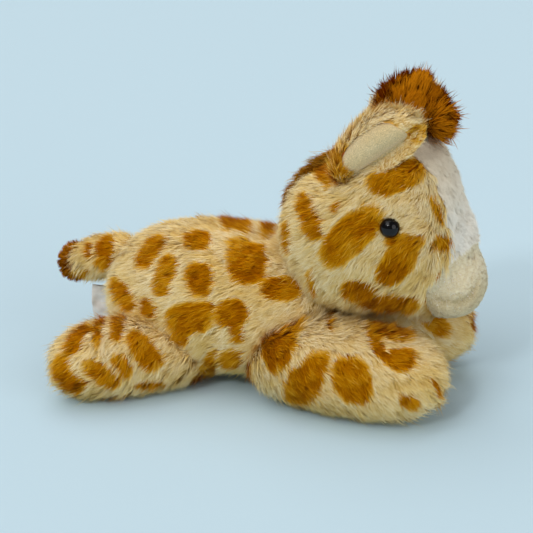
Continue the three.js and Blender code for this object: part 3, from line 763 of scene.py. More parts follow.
def ribbons(name, paths, across, normals, widths, codes, material):
    """Strands as ribbons. Each has pairs of points half its width to either side of its path, and one at its
    tip, and carries its colour along u and its length along v of its own map."""
    count, knots = paths.shape[:2]
    last = knots - 1
    half = across[:, None, :] * widths[:, :last, None] / 2
    pairs = np.stack([paths[:, :last] - half, paths[:, :last] + half], 2).reshape(count, 2 * last, 3)
    vertices = np.concatenate([pairs, paths[:, last:]], 1)
    size = 2 * last + 1
    one = [k for i in range(last - 1) for k in (2 * i, 2 * i + 1, 2 * i + 3, 2 * i + 2)]
    one = np.array(one + [2 * last - 2, 2 * last - 1, 2 * last])
    starts_one = np.array([4 * i for i in range(last)])
    loops = (np.arange(count)[:, None] * size + one).ravel()
    starts = (np.arange(count)[:, None] * len(one) + starts_one).ravel()
    mesh = bpy.data.meshes.new(name)
    mesh.vertices.add(count * size)
    mesh.vertices.foreach_set("co", (vertices * MM).astype(np.float32).ravel())
    mesh.loops.add(len(loops))
    mesh.loops.foreach_set("vertex_index", loops.astype(np.int32))
    mesh.polygons.add(len(starts))
    mesh.polygons.foreach_set("loop_start", starts.astype(np.int32))
    mesh.update(calc_edges=True)
    mesh.polygons.foreach_set("use_smooth", np.ones(len(starts), bool))
    aside = np.append(np.tile((-0.012, 0.012), last), 0)
    along = np.append(np.repeat(np.arange(last) / last, 2), 1)
    u = (codes[:, None] + aside)[:, one]
    v = np.broadcast_to(along[one], u.shape)
    uv = mesh.uv_layers.new(name=STRAND_UV)
    uv.data.foreach_set("uv", np.clip(np.stack([u, v], -1), 0.001, 0.999).astype(np.float32).ravel())
    mesh.materials.append(material)
    mesh.normals_split_custom_set_from_vertices(np.repeat(normals, size, axis=0))
    piece = bpy.data.objects.new(name, mesh)
    bpy.context.scene.collection.objects.link(piece)
    return piece


def comb(normals, flow, turn):
    """The flow laid flat on the cloth and turned about its normal by an angle. A little of another direction
    stands in where the flow is straight up."""
    flat = flow - normals * (flow * normals).sum(1, keepdims=True)
    flat = unit(flat + 1e-4 * np.cross(normals, (0.3, 0.5, 0.8)))
    side = np.cross(normals, flat)
    return flat * np.cos(turn)[:, None] + side * np.sin(turn)[:, None]


def pile(name, hide, material, seed, density, length, flow, code, keep=None, width=0.5, lift=(45, 10),
         tuft=4.8, pull=0.13, sway=0.5, steps=2, guard=0.07):
    """Pile on a hide. A strand leaves its root at the first lift angle above the cloth, bends to the second
    at its tip, follows the flow turned by noise, and leans with its tuft. A share of strands are longer."""
    rng = np.random.default_rng(seed)
    roots, normals = scatter(hide, density, rng)
    kept = np.ones(len(roots), bool) if keep is None else keep(roots)
    roots, normals = roots[kept], normals[kept]
    count = len(roots)
    middle, luck = nearest_tuft(roots, tuft, seed)
    waves = lumps(roots, (*TURN_NOISES[0], seed + 3), (*TURN_NOISES[1], seed + 4))
    turn = sway * (waves + TURN_TUFT * (luck - 0.5)) + rng.normal(0, TURN_CHANCE, count)
    way = comb(normals, np.broadcast_to(flow, roots.shape) if not callable(flow) else flow(roots), turn)
    uneven = 1 + lumps(roots, (*LENGTH_NOISE, seed + 5)) + rng.normal(0, LENGTH_CHANCE, count)
    uneven *= 1 + LENGTH_TUFT * (luck - 0.5)
    long = (length(roots) if callable(length) else length) * uneven
    long *= 1 + GUARD_EXCESS * (rng.random(count) < guard)
    tilt = [math.radians(angle) for angle in lift]
    droop = rng.normal(0, BEND_CHANCE, count) + BEND_TUFT * (luck - 0.5)
    paths = np.empty((count, steps + 1, 3))
    paths[:, 0] = roots
    gather = middle - roots
    gather -= normals * (gather * normals).sum(1, keepdims=True)
    for k in range(1, steps + 1):
        share = (k - 0.5) / steps
        angle = tilt[0] + (tilt[1] - tilt[0]) * share + droop
        step = way * np.cos(angle)[:, None] + normals * np.sin(angle)[:, None]
        paths[:, k] = paths[:, k - 1] + step * (long / steps)[:, None] + gather * (pull / steps)
    paths[:, 1:, 2] = np.maximum(paths[:, 1:, 2], PILE_FLOOR)
    heading = unit(paths[:, 1] - paths[:, 0])
    across = unit(np.cross(heading, normals) + 1e-5)
    twist = rng.uniform(-TWIST, TWIST, count)[:, None]
    across = across * np.cos(twist) + np.cross(heading, across) * np.sin(twist)
    shading = unit(SHADING[0] * normals + SHADING[1] * np.cross(across, heading) + SHADING[2] * way)
    taper = 1 - TAPER * np.arange(steps + 1) / steps
    widths = width * rng.uniform(*WIDTH_RANGE, count)[:, None] * taper
    tone = TONE_TUFT * (luck - 0.5) + lumps(roots, (*TONE_NOISE, seed + 6))
    tone += rng.normal(0, TONE_CHANCE, count)
    seen_at = (paths[:, 1] + paths[:, 2]) / 2
    return ribbons(name, paths, across, shading, widths, code(seen_at, tone), material)


def printed(patches, seed):
    """A function that gives the colour code at points: cream, or orange inside a patch, moved by a tone that
    also makes the patch's edge ragged."""

    def code(points, tone):
        amount = smoothstep(0.08, 0.92, patch_amount(points, patches, seed) + 0.22 * tone)
        cream, patch = CREAM_CODE + 0.15 * tone, PATCH_CODE - 0.31 * tone
        return np.clip(cream + (patch - cream) * amount, *CODE_RANGE)

    return code


def paint(piece, material, **values):
    """The piece takes a material and, for each attribute that it reads, a value at every vertex."""
    for name, value in values.items():
        attribute = piece.data.attributes.new(name, "FLOAT", "POINT")
        attribute.data.foreach_set("value", value.astype(np.float32))
    piece.data.materials.clear()
    piece.data.materials.append(material)


def print_cloth(hide, backing, marks, free, seeds, gap=7, **values):
    """Prints a hide with patches for the marks and further ones on the cloth that a mask leaves free. Gives
    their colour code."""
    patches = traced(hide, marks)
    patches += spread_patches(hide, patches, free, seeds[0], gap)
    code = printed(patches, seeds[1])
    paint_code(hide, backing, code, **values)
    return code


def paint_code(piece, backing, code, **values):
    """The cloth takes the colour code without tones of its own."""
    points = places(piece)
    paint(piece, backing, coat=code(points, np.zeros(len(points))), **values)


def unseen_from_camera(piece):
    """Vertices whose skin faces away from the camera."""
    return vertex_normals(piece) @ CAMERA_WAY > 0.02


# Settings


class PileSettings(bpy.types.PropertyGroup):
    length: FloatProperty(name="Pile length", description="Length of a strand of the coat", default=8.6 * MM,
                          unit="LENGTH")
    width: FloatProperty(name="Strand width", description="Width of a strand at its root", default=0.42 * MM,
                         unit="LENGTH")
    density: FloatProperty(name="Density", description="Strands on a square millimetre", default=3.0)


class FaceSettings(bpy.types.PropertyGroup):
    eye_width: FloatProperty(name="Eye width", description="Diameter of an eye", default=12 * MM,
                             unit="LENGTH")
    eye_colour: FloatVectorProperty(name="Eye colour", description="Colour of the eyes", subtype="COLOR",
                                    default=(0.0012, 0.001, 0.0012))


class StageSettings(bpy.types.PropertyGroup):
    floor_colour: FloatVectorProperty(name="Floor colour", description="Colour of the floor", subtype="COLOR",
                                      default=tuple(linear((194, 218, 230))))
    key_power: FloatProperty(name="Key light", description="Strength of the soft key light", default=0.75)
    fill_power: FloatProperty(name="Fill light", description="Strength of the fill light", default=0.8)
    spark_power: FloatProperty(name="Eye light", description="Strength of the light that the eyes mirror",
                               default=0.65)
    top_power: FloatProperty(name="Top light", description="Strength of the light from above and behind",
                             default=0.9)
    sky: FloatProperty(name="Sky light", description="Strength of the light from all round", default=0.38)


# Operators


class GIRAFFE_OT_stage(bpy.types.Operator):
    """Adds the camera, the lamps, the floor and the sky"""

    bl_idname = "giraffe.stage"
    bl_label = "Stage"

    def execute(self, context):
        settings = context.scene.giraffe_stage
        scene = context.scene
        scene.view_settings.view_transform = "Standard"
        camera = bpy.data.objects.new("camera", bpy.data.cameras.new("camera"))
        camera.data.sensor_width = SENSOR
        camera.data.lens = CAMERA_LENS
        camera.data.clip_start = 0.01
        target, way = Vector(CAMERA_TARGET * MM), Vector(unit(CAMERA_WAY))
        camera.location = target - way * CAMERA_DISTANCE * MM
        camera.rotation_euler = way.to_track_quat("-Z", "Y").to_euler()
        scene.collection.objects.link(camera)
        scene.camera = camera

        paper = Finish("floor_paper", 0.95, specular=0.1)
        paper.surface.inputs["Base Color"].default_value = (*settings.floor_colour, 1)
        corners = [(x * FLOOR_HALF, y * FLOOR_HALF, 0) for x, y in ((-1, -1), (1, -1), (1, 1), (-1, 1))]
        add_piece("floor", corners, [[0, 1, 2, 3]], paper.material)
        self.sky(scene, settings)
        self.lamps(scene, settings, target)
        return {"FINISHED"}

    def sky(self, scene, settings):
        """A dim light from all round, dimmer in what gloss mirrors, behind which the camera sees the floor's
        colour."""
        world = bpy.data.worlds.new("sky")
        scene.world = world
        world.use_nodes = True
        nodes, links = world.node_tree.nodes, world.node_tree.links
        back = nodes["Background"]
        back.inputs["Color"].default_value = (1, 0.99, 0.97, 1)
        seen = nodes.new("ShaderNodeBackground")
        seen.inputs["Color"].default_value = (*settings.floor_colour, 1)
        rays, mix = nodes.new("ShaderNodeLightPath"), nodes.new("ShaderNodeMixShader")
        dim = nodes.new("ShaderNodeMapRange")
        dim.inputs["To Min"].default_value = settings.sky
        dim.inputs["To Max"].default_value = settings.sky * MIRRORED_SKY
        links.new(rays.outputs["Is Glossy Ray"], dim.inputs["Value"])
        links.new(dim.outputs["Result"], back.inputs["Strength"])
        links.new(rays.outputs["Is Camera Ray"], mix.inputs["Fac"])
        links.new(back.outputs["Background"], mix.inputs[1])
        links.new(seen.outputs["Background"], mix.inputs[2])
        links.new(mix.outputs["Shader"], nodes["World Output"].inputs["Surface"])

    def lamps(self, scene, settings, target):
        """Four suns, each at a place in metres, with the angle that it spreads over."""
        for name, at, spread, power in (
            ("key_sun", (-0.4, -0.7, 1.1), 38, settings.key_power),
            ("fill_sun", (1.0, -0.6, 0.45), 45, settings.fill_power),
            ("spark_sun", (-0.25, -1.0, 0.85), 9, settings.spark_power),
            ("top_sun", (-0.3, 0.3, 1.2), 60, settings.top_power),
        ):
            lamp = bpy.data.lights.new(name, "SUN")
            lamp.angle = math.radians(spread)
            lamp.energy = power
            holder = bpy.data.objects.new(name, lamp)
            holder.location = at
            holder.rotation_euler = (target - Vector(at)).to_track_quat("-Z", "Y").to_euler()
            scene.collection.objects.link(holder)


def coat_look(context):
    """The settings of the plain coat, in millimetres."""
    settings = context.scene.giraffe_pile
    return dict(length=settings.length / MM, width=settings.width / MM, density=settings.density)


def coat_materials():
    """The two materials of the printed plush."""
    return (made_once("printed_pile", pile_material, CREAM_TONES, CREAM_ROOT_SHADE),
            made_once("printed_backing", hide_material, CREAM_TONES))


class GIRAFFE_OT_torso(bpy.types.Operator):
    """Adds the torso's stuffed hide and its coat"""

    bl_idname = "giraffe.torso"
    bl_label = "Torso"

    def execute(self, context):
        strands, backing = coat_materials()

        def shape(points, normals):
            points = points + normals * lumps(points, (0.9, 26, 11), (0.4, 11, 12))[:, None]
            points[:, 2] = np.maximum(points[:, 2], HIDE_FLOOR)
            arch = np.exp(-((points[:, 0] - ARCH_MIDDLE) / ARCH_SPREAD) ** 2)
            points[:, 2] += ARCH_RISE * arch * smoothstep(30, 0, points[:, 2])
            return points

        hide = stuffed("torso_hide", closed_form(*TORSO.rings(HIDE_INSET)), 4, 3, shape)
        code = print_cloth(hide, backing, TORSO_PATCHES, unseen_from_camera(hide), (21, 31))
        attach(hide, "torso")
        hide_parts("torso_side_right", "torso_side_left", "belly_panel")
        buried = [*FRONT.values(), *HIND.values(), TAIL]
        for name, side in SIDES.items():
            def keep(points):
                return (points[:, 1] * side > 0) & clear_of(points, buried, 11) & (EGG.level(points) > 0.78)

            coat = pile(f"torso_coat_{name}", hide, strands, 41 + side, flow=np.array([-1.0, 0, -0.45]),
                        code=code, keep=keep, **coat_look(context))
            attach(coat, "torso")
        return {"FINISHED"}


def head_depth(points):
    """Level of the head's egg and muzzle together."""
    return np.minimum(EGG.level(points), MUZZLE.level(points))


def muzzle_zone(points):
    """The velour of the muzzle, ahead of a ragged edge that lies further forward under the chin."""
    grown = Bolster(MUZZLE_MIDDLE, 0, [2 * half + 16 for half in MUZZLE_HALF], 2)
    edge = MUZZLE_BACK + 5 * smoothstep(74, 60, points[:, 2]) + lumps(points, (1.2, 9, 77), (1.6, 0.9, 79))
    return (grown.level(points) < 1) & (points[:, 0] > edge)


def blaze_zone(points):
    """The white band between two ragged edges, from the forelock down to the muzzle."""
    x, y, z = points.T
    half = BLAZE_HALF + lumps(points, (2, 8, 78), (1.2, 0.9, 80))
    return (x > BLAZE_BACK) & (np.abs(y) < half) & (z > BLAZE_LOW) & ~muzzle_zone(points)


def mouth_distance(points):
    """How far points lie from the crease that runs round either side of the muzzle and fades towards its back
    and its middle."""
    x, y, z = points.T
    away = (np.abs(y) + MOUTH_SLOPES[0] * x + MOUTH_SLOPES[1] * z - MOUTH_REACH) / MOUTH_STEEPNESS
    fading = 1 - smoothstep(MUZZLE_BACK, 143, x) * smoothstep(10, 18, np.abs(y))
    return np.abs(away + 0.5 * noise(points, 6, 16)) + 4 * fading


def eye_distance(points):
    """How far points lie from the nearer eye."""
    return np.min([np.linalg.norm(points - eye_middle(side), axis=1) for side in SIDES.values()], axis=0)


def bend_head(piece):
    """The piece's transform is baked into its mesh."""
    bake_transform(piece)


class GIRAFFE_OT_head(bpy.types.Operator):
    """Adds the head's stuffed hide, its coat, the white blaze and the velour muzzle"""

    bl_idname = "giraffe.head"
    bl_label = "Head"

    def execute(self, context):
        strands, backing = coat_materials()

        def shape(points, normals):
            rise = lumps(points, (0.8, 24, 13), (0.35, 10, 14))
            rise += 0.7 * blaze_zone(points) * noise(points, 14, 15)
            rise += BROW_RISE * np.exp(-((points - BROW) ** 2).sum(1) / BROW_SPREAD**2)
            rise -= MOUTH_DEPTH * np.exp(-(mouth_distance(points) / MOUTH_WIDTH) ** 2)
            points = points + normals * rise[:, None]
            low = (points[:, 0] > MUZZLE_BACK - 12) & (points[:, 2] < MUZZLE_FLOOR)
            points[:, 2] += MUZZLE_LIFT * low * (MUZZLE_FLOOR - points[:, 2])
            return points

        vertices, faces = closed_form(*EGG.rings(HIDE_INSET))
        skin = joined((outside_of(vertices, TORSO, -2), faces), closed_form(*MUZZLE.rings(-0.6, 30, 40)))
        hide = stuffed("head_hide", skin, 3, 2.5, shape)
        points = places(hide)
        white_cloth = muzzle_zone(points) | blaze_zone(points)
        free = unseen_from_camera(hide) & ~white_cloth
        code = print_cloth(hide, backing, HEAD_PATCHES, free, (22, 32), pale=white_cloth)
        bend_head(hide)
        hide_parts("head_side_right", "head_side_left", "face_blaze", "muzzle_panel")

        look = coat_look(context)

        def length(points):
            return look["length"] * (0.42 + 0.58 * smoothstep(6, 17, eye_distance(points)))

        for name, side in SIDES.items():
            def keep(points):
                plush = (points[:, 1] * side > 0) & ~muzzle_zone(points) & ~blaze_zone(points)
                plush &= eye_distance(points) > EYE_CLEARING
                return plush & clear_of(points, [TORSO, *FRONT.values()], 9)

            coat = pile(f"head_coat_{name}", hide, strands, 51 + side, flow=np.array([-0.75, 0, -0.7]),
                        code=code, keep=keep, **(look | dict(length=length)))
            bend_head(coat)
        self.face(hide)
        return {"FINISHED"}

    def face(self, hide):
        """The blaze and the muzzle's nap."""

        # Painted light and shade on the nap: lighter towards its top, darker along the mouth's crease, with a
        # tone that differs at random
        def lit_top_crease_shade(points, tone):
            crease_shade = np.exp(-(mouth_distance(points) / MOUTH_WIDTH) ** 2)
            high = smoothstep(62, 92, points[:, 2])
            return np.clip(0.4 + 0.44 * tone + 0.36 * high - 0.32 * crease_shade, *CODE_RANGE)

        # Painted shade on the blaze: darker towards its top under the forelock, with a tone that differs at
        # random
        def shaded_under_forelock(points, tone):
            return np.clip(0.3 + 0.5 * smoothstep(172, 118, points[:, 2]) + 0.14 * tone, *CODE_RANGE)

        white = pile_material("white_pile", WHITE_TONES, WHITE_ROOT_SHADE)
        blaze = pile("blaze_coat", hide, white, 61, flow=np.array([0.35, 0, -1.0]), code=shaded_under_forelock,
                     keep=blaze_zone, **BLAZE_PILE)
        velour = pile_material("muzzle_velour", VELOUR_TONES, VELOUR_ROOT_SHADE, sheen=0.3)
        muzzle = pile("muzzle_nap", hide, velour, 62, flow=np.array([0.6, 0, -0.8]), code=lit_top_crease_shade,
                      keep=muzzle_zone, **MUZZLE_NAP)
        for piece, slot in ((blaze, "white_plush"), (muzzle, "cream_velour")):
            bend_head(piece)


def egg_side(x, z):
    """Half width of the head at a place on its side."""
    middle, tall, wide = EGG.section(np.array([float(x)]))
    rise = np.clip(1 - np.abs((z - middle) / tall) ** HEAD_POWER, 0, 1) ** (1 / HEAD_POWER)
    return float((wide * rise)[0])


def eye_middle(side):
    """The middle of an eye on the head's skin."""
    x, z = EYE_PLACE
    return np.array([x, side * egg_side(x, z), z])


class GIRAFFE_OT_eyes(bpy.types.Operator):
    """Adds the domed eyes"""

    bl_idname = "giraffe.eyes"
    bl_label = "Eyes"

    def execute(self, context):
        settings = context.scene.giraffe_face
        material = eye_material(settings.eye_colour)
        radius = settings.eye_width / MM / 2
        u = np.linspace(0, np.pi / 2, 15)[:-1]
        # Shank, rim and dome: radius and height of each ring
        outline = [(SHANK_RADIUS, -SHANK_LENGTH), (SHANK_RADIUS, -1.2), (radius * 0.93, -1.0), (radius, -0.4)]
        outline = np.concatenate([outline, np.column_stack([radius * np.cos(u), EYE_DOME * np.sin(u)])])
        v = np.linspace(0, 2 * np.pi, 48, endpoint=False)
        for name, side in SIDES.items():
            turn = math.radians(side * (90 - EYE_TURN))
            sight = np.array([math.cos(turn), math.sin(turn), 0])
            right, up = np.array([-sight[1], sight[0], 0]), np.array([0, 0, 1])
            seat = eye_middle(side) - sight * EYE_SINK
            rings = seat + outline[:, None, 1:] * sight + outline[:, None, :1] * (
                np.cos(v)[None, :, None] * right + np.sin(v)[None, :, None] * up)
            vertices, faces = closed_form(rings, [seat - sight * SHANK_LENGTH, seat + sight * EYE_DOME])
            piece = add_piece(f"eye_dome_{name}", vertices, faces, material)
            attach(piece, "head")
            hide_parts(f"eye_{name}")
        return {"FINISHED"}


class GIRAFFE_OT_legs(bpy.types.Operator):
    """Adds the four legs' stuffed hides and their coats"""

    bl_idname = "giraffe.legs"
    bl_label = "Legs"

    def execute(self, context):
        strands, backing = coat_materials()
        look = coat_look(context)
        for part, forms, given in (("front_leg", FRONT, FRONT_PATCHES), ("hind_leg", HIND, HIND_PATCHES)):
            for name, side in SIDES.items():
                self.leg(part, name, side, forms[name], given, strands, backing, look)
        return {"FINISHED"}

    def leg(self, part, name, side, form, given, strands, backing, look):
        """One leg, which lies on the floor with its root against the torso."""
        body = f"{part}_{name}"
        front = part == "front_leg"
        seed = 100 + 10 * front + side

        def shape(points, normals):
            points = points + normals * lumps(points, (0.8, 20, seed), (0.35, 9, seed + 1))[:, None]
            if front:
                reach = smoothstep(0, form.half[0], form.local(points)[:, 0])
                points = points + form.along * PAW_REACH[name] * reach[:, None]
                outer = np.maximum(form.local(points)[:, 1] * side, 0)
                points = points - form.side * (side * PAW_NARROWING * reach**2 * outer)[:, None]
                points = under_head(points, 1.5)
            points[:, 2] = np.maximum(points[:, 2], HIDE_FLOOR)
            return points

        vertices, faces = closed_form(*form.rings(HIDE_INSET))
        hide = stuffed(f"{body}_hide", (outside_of(vertices, TORSO, -2.5), faces), 3.6, 2.5, shape)
        marks = given if side < 0 else FAR_FRONT_PATCHES if front else []
        free = ~deep_in(places(hide), TORSO, 0)
        if marks:
            free &= unseen_from_camera(hide)
        code = print_cloth(hide, backing, marks, free, (seed + 2, seed + 3))
        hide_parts(f"{body}_outer_panel", f"{body}_inner_panel")

        def keep(points):
            return ~deep_in(points, TORSO, 7) & (head_depth(points) > 0.86)

        flow = form.along * (0.75 if front else 0.9) + np.array([0, 0, -0.5])
        coat = pile(f"{body}_coat", hide, strands, seed + 4, flow=flow, code=code, keep=keep, **look)
        for piece in (hide, coat):
            bend_leg(piece)


def under_head(points, gap):
    """Points of a leg pressed down until they clear the head's underside by a gap."""
    roof = EGG.underside(points[:, 0], points[:, 1]) - gap
    under = (np.abs(points[:, 0] - 110) < 44) & (points[:, 2] > roof)
    return np.column_stack([points[:, :2], np.where(under, roof, points[:, 2])])


def bend_leg(piece):
    """The piece's transform is baked into its mesh."""
    bend(piece)


def bend(piece):
    """The piece's transform is baked into its mesh."""
    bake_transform(piece)


def brown_material():
    return made_once("brown_strands", pile_material, BROWN_TONES, BROWN_ROOT_SHADE, 0.65, 0)


def locks(name, roots, ways, tips, width, seed, tuft, pull, pale=0.0, knots=3):
    """Long pile: each strand is the curve (1-t)^2 root + 2t(1-t) knee + t^2 tip, whose knee lies straight
    along its way, and its tip gathers towards the middle of a lock."""
    rng = np.random.default_rng(seed)
    count = len(roots)
    middle, luck = nearest_tuft(tips, tuft, seed)
    tips = tips + (middle - tips) * (pull * rng.uniform(0.5, 1, count))[:, None]
    reach = np.linalg.norm(tips - roots, axis=1)[:, None]
    knee = roots + ways * reach * 0.55 + rng.normal(0, 0.5, (count, 3))
    t = np.linspace(0, 1, knots + 1)[None, :, None]
    paths = roots[:, None] * (1 - t) ** 2 + 2 * t * (1 - t) * knee[:, None] + tips[:, None] * t**2
    heading = unit(tips - roots)
    across = unit(np.cross(heading, rng.normal(0, 1, (count, 3))))
    normals = unit(0.7 * unit(tips - tips.mean(0)) + 0.3 * np.cross(across, heading))
    taper = 1 - 0.5 * np.arange(knots + 1) / knots
    widths = width * rng.uniform(0.7, 1.3, count)[:, None] * taper
    codes = np.clip(0.45 + pale + 0.35 * (luck - 0.5) + rng.normal(0, 0.14, count), *CODE_RANGE)
    coat = ribbons(name, paths, across, normals, widths, codes, brown_material())
    return coat


def ball(middle, size):
    """Vertices and faces of an ellipsoid."""
    return closed_form(*Bolster(middle, 0, size, 2).rings(0, 24, 36))


class GIRAFFE_OT_hair(bpy.types.Operator):
    """Adds the forelock, the mane and the tuft of the tail"""

    bl_idname = "giraffe.hair"
    bl_label = "Forelock, mane and tuft"

    def execute(self, context):
        rng = np.random.default_rng(71)
        self.forelock()
        self.mane(rng)
        self.tail_tuft(rng)
        return {"FINISHED"}

    def forelock(self):
        """Curled pile on two puffs, away from the forelock's foot."""
        puffs = [Bolster(middle, 0, [2 * half for half in halves], 2) for middle, halves in FORELOCK]
        skins = [ball(middle, [2 * half for half in halves]) for middle, halves in FORELOCK]
        core = add_piece("forelock_base", *joined(*skins), made_once("brown_base", core_material))

        def curled(points):
            curl = np.stack([noise(points, 9, 710 + k) for k in range(3)], -1)
            return unit(points - FORELOCK_FOOT) + 1.1 * curl

        def brown(points, tone):
            return np.clip(0.4 + 0.3 * tone, *CODE_RANGE)

        def free(points):
            return (EGG.level(points) > 1) & np.all([puff.level(points) > 0.97 for puff in puffs], axis=0)

        coat = pile("forelock_pile", core, brown_material(), 72, flow=curled, code=brown, keep=free,
                    **FORELOCK_PILE)
        for piece in (coat, core):
            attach(piece, "head")
        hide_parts("forelock")

    def mane(self, rng):
        """Locks rooted just under the ridge of the head, which lean outwards and backwards from it."""
        x = HEAD_BACK + 2 + rng.random(MANE_STRANDS) ** 0.9 * MANE_RUN
        middle, tall, wide = EGG.section(x)
        y = rng.uniform(-2.5, 3.5, MANE_STRANDS)
        rise = (1 - np.abs(y / np.maximum(wide, 6)) ** HEAD_POWER) ** (1 / HEAD_POWER)
        roots = np.stack([x, y, middle + tall * rise - 3], -1)
        ahead = EGG.section(x + 1)
        slope = ahead[0] + ahead[1] - middle - tall
        outwards = unit(np.stack([-slope, 0 * x, 1 + 0 * x], -1))
        backwards = unit(np.stack([-1 + 0 * x, 0 * x, -slope], -1))
        ways = unit(outwards + rng.normal(0, 0.2, roots.shape))
        reach = rng.uniform(4, 7.5, MANE_STRANDS) + 3.5 * smoothstep(135, 150, roots[:, 2])
        lean = outwards * 0.62 + backwards * 0.75 + rng.normal(0, 0.2, roots.shape)
        tips = roots + lean * reach[:, None]
        above = roots[:, 2] > MANE_FOOT
        mane = locks("mane_pile", roots[above], ways[above], tips[above], 0.42, 73, tuft=6, pull=0.5,
                     pale=0.35)
        bend_head(mane)
        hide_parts("nape_mane")

    def tail_tuft(self, rng):
        """Locks from a small core outwards to the tuft's own ellipsoid."""
        aim = unit(rng.normal(0, 1, (TUFT_STRANDS, 3)) + 0.9 * TAIL_AXIS)
        half = np.array(TUFT_SIZE) / 2
        tips = TUFT_MIDDLE + aim * half * 1.04
        roots = TUFT_MIDDLE - TAIL_AXIS * 5 + aim * half * 0.3
        tuft = locks("tail_tuft_pile", roots, unit(aim + TAIL_AXIS), tips, 0.45, 74, tuft=5, pull=0.35)
        matted = made_once("brown_base", core_material)
        core = add_piece("tail_tuft_base", *ball(TUFT_MIDDLE, TUFT_CORE), matted)
        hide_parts("tail_tuft")
        for piece in (tuft, core):
            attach(piece, "tail")


def bend_tail(piece):
    """The piece's transform is baked into its mesh."""
    bend(piece)


class GIRAFFE_OT_tail(bpy.types.Operator):
    """Adds the tail's stuffed hide and its coat, and the blank label under it"""

    bl_idname = "giraffe.tail"
    bl_label = "Tail"

    def execute(self, context):
        strands, backing = coat_materials()
        vertices, faces = closed_form(*TAIL.rings(HIDE_INSET, 24, 32))
        hide = stuffed("tail_hide", (outside_of(vertices, TORSO, -2.0), faces), 2.6, 1.5)
        code = print_cloth(hide, backing, TAIL_PATCHES, unseen_from_camera(hide), (23, 33), gap=3)
        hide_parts("tail_skin")
        look = coat_look(context)
        look["length"] *= 0.9
        coat = pile("tail_coat", hide, strands, 81, flow=TAIL_AXIS + (0, 0, -0.2), code=code,
                    keep=lambda points: ~deep_in(points, TORSO, 6), **look)
        self.label()
        for piece in (hide, coat):
            bend_tail(piece)
        return {"FINISHED"}

    def label(self):
        """The blank label: a ribbon whose path is half an ellipse, out of the seam and back into it, with
        folds that grow towards its lower edge and its outer fold."""
        u, v = np.linspace(0, 1, 50)[:, None], np.linspace(0, np.pi, 80)[None, :]
        x = LABEL_SEAM - LABEL_REACH * np.sin(v) + 0 * u
        y = LABEL_OPENING * np.cos(v) + 0 * u
        z = LABEL_BOTTOM + LABEL_WIDTH * u + 0 * v
        flat = np.stack([x, y, z], -1).reshape(-1, 3)
        crumple = (np.sin(v) * (1 - 0.7 * u)).reshape(-1, 1)
        across = 2.6 * noise(flat * (1, 0.2, 1), 6, 96)
        folds = np.stack([1.2 * noise(flat, 7, 95), across, 1.2 * noise(flat, 8, 97)], -1)
        faces = grid_faces(np.arange(x.size).reshape(x.shape))
        piece = add_piece("label_ribbon", flat + folds * crumple, faces.tolist(), satin_material())
        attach(piece, "torso")
        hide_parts("care_label")


EAR_ROOT = (88, 35.88, 153.76)
EAR_LENGTH, EAR_HALF, EAR_BEND = 53, 14, 10
EAR_LIFT, EAR_SPLAY, EAR_LEAN = 50, 9, 33
EAR_STUFFING = 9
# The lining's middle and half size, in shares along the ear and in half widths across it, then millimetres
LINING_MIDDLE, LINING_HALF = (0.45, -0.31), (0.39, 0.7)
LINING_PUFF, LINING_DEPTH = 1.5, 1.6
# Along the ear, then its half width as a share
EAR_OUTLINE = np.array([
    (-0.16, 0.5), (0.0, 0.84), (0.2, 1.0), (0.5, 1.12), (0.75, 1.06), (0.9, 0.78), (0.97, 0.46), (1.0, 0.12),
])
# From the upper edge to the lower, then the way across it and towards its front in half widths
EAR_SECTION = np.array([
    (-1.6, -0.96, -0.6), (-1.3, -1.0, -0.36), (-1.0, -0.9, -0.12), (-0.7, -0.76, 0.2), (-0.35, -0.42, 0.36),
    (0.0, -0.02, 0.22), (0.25, 0.26, 0.0), (0.45, 0.4, 0.1), (0.75, 0.6, 0.42), (1.0, 0.8, 0.5),
])


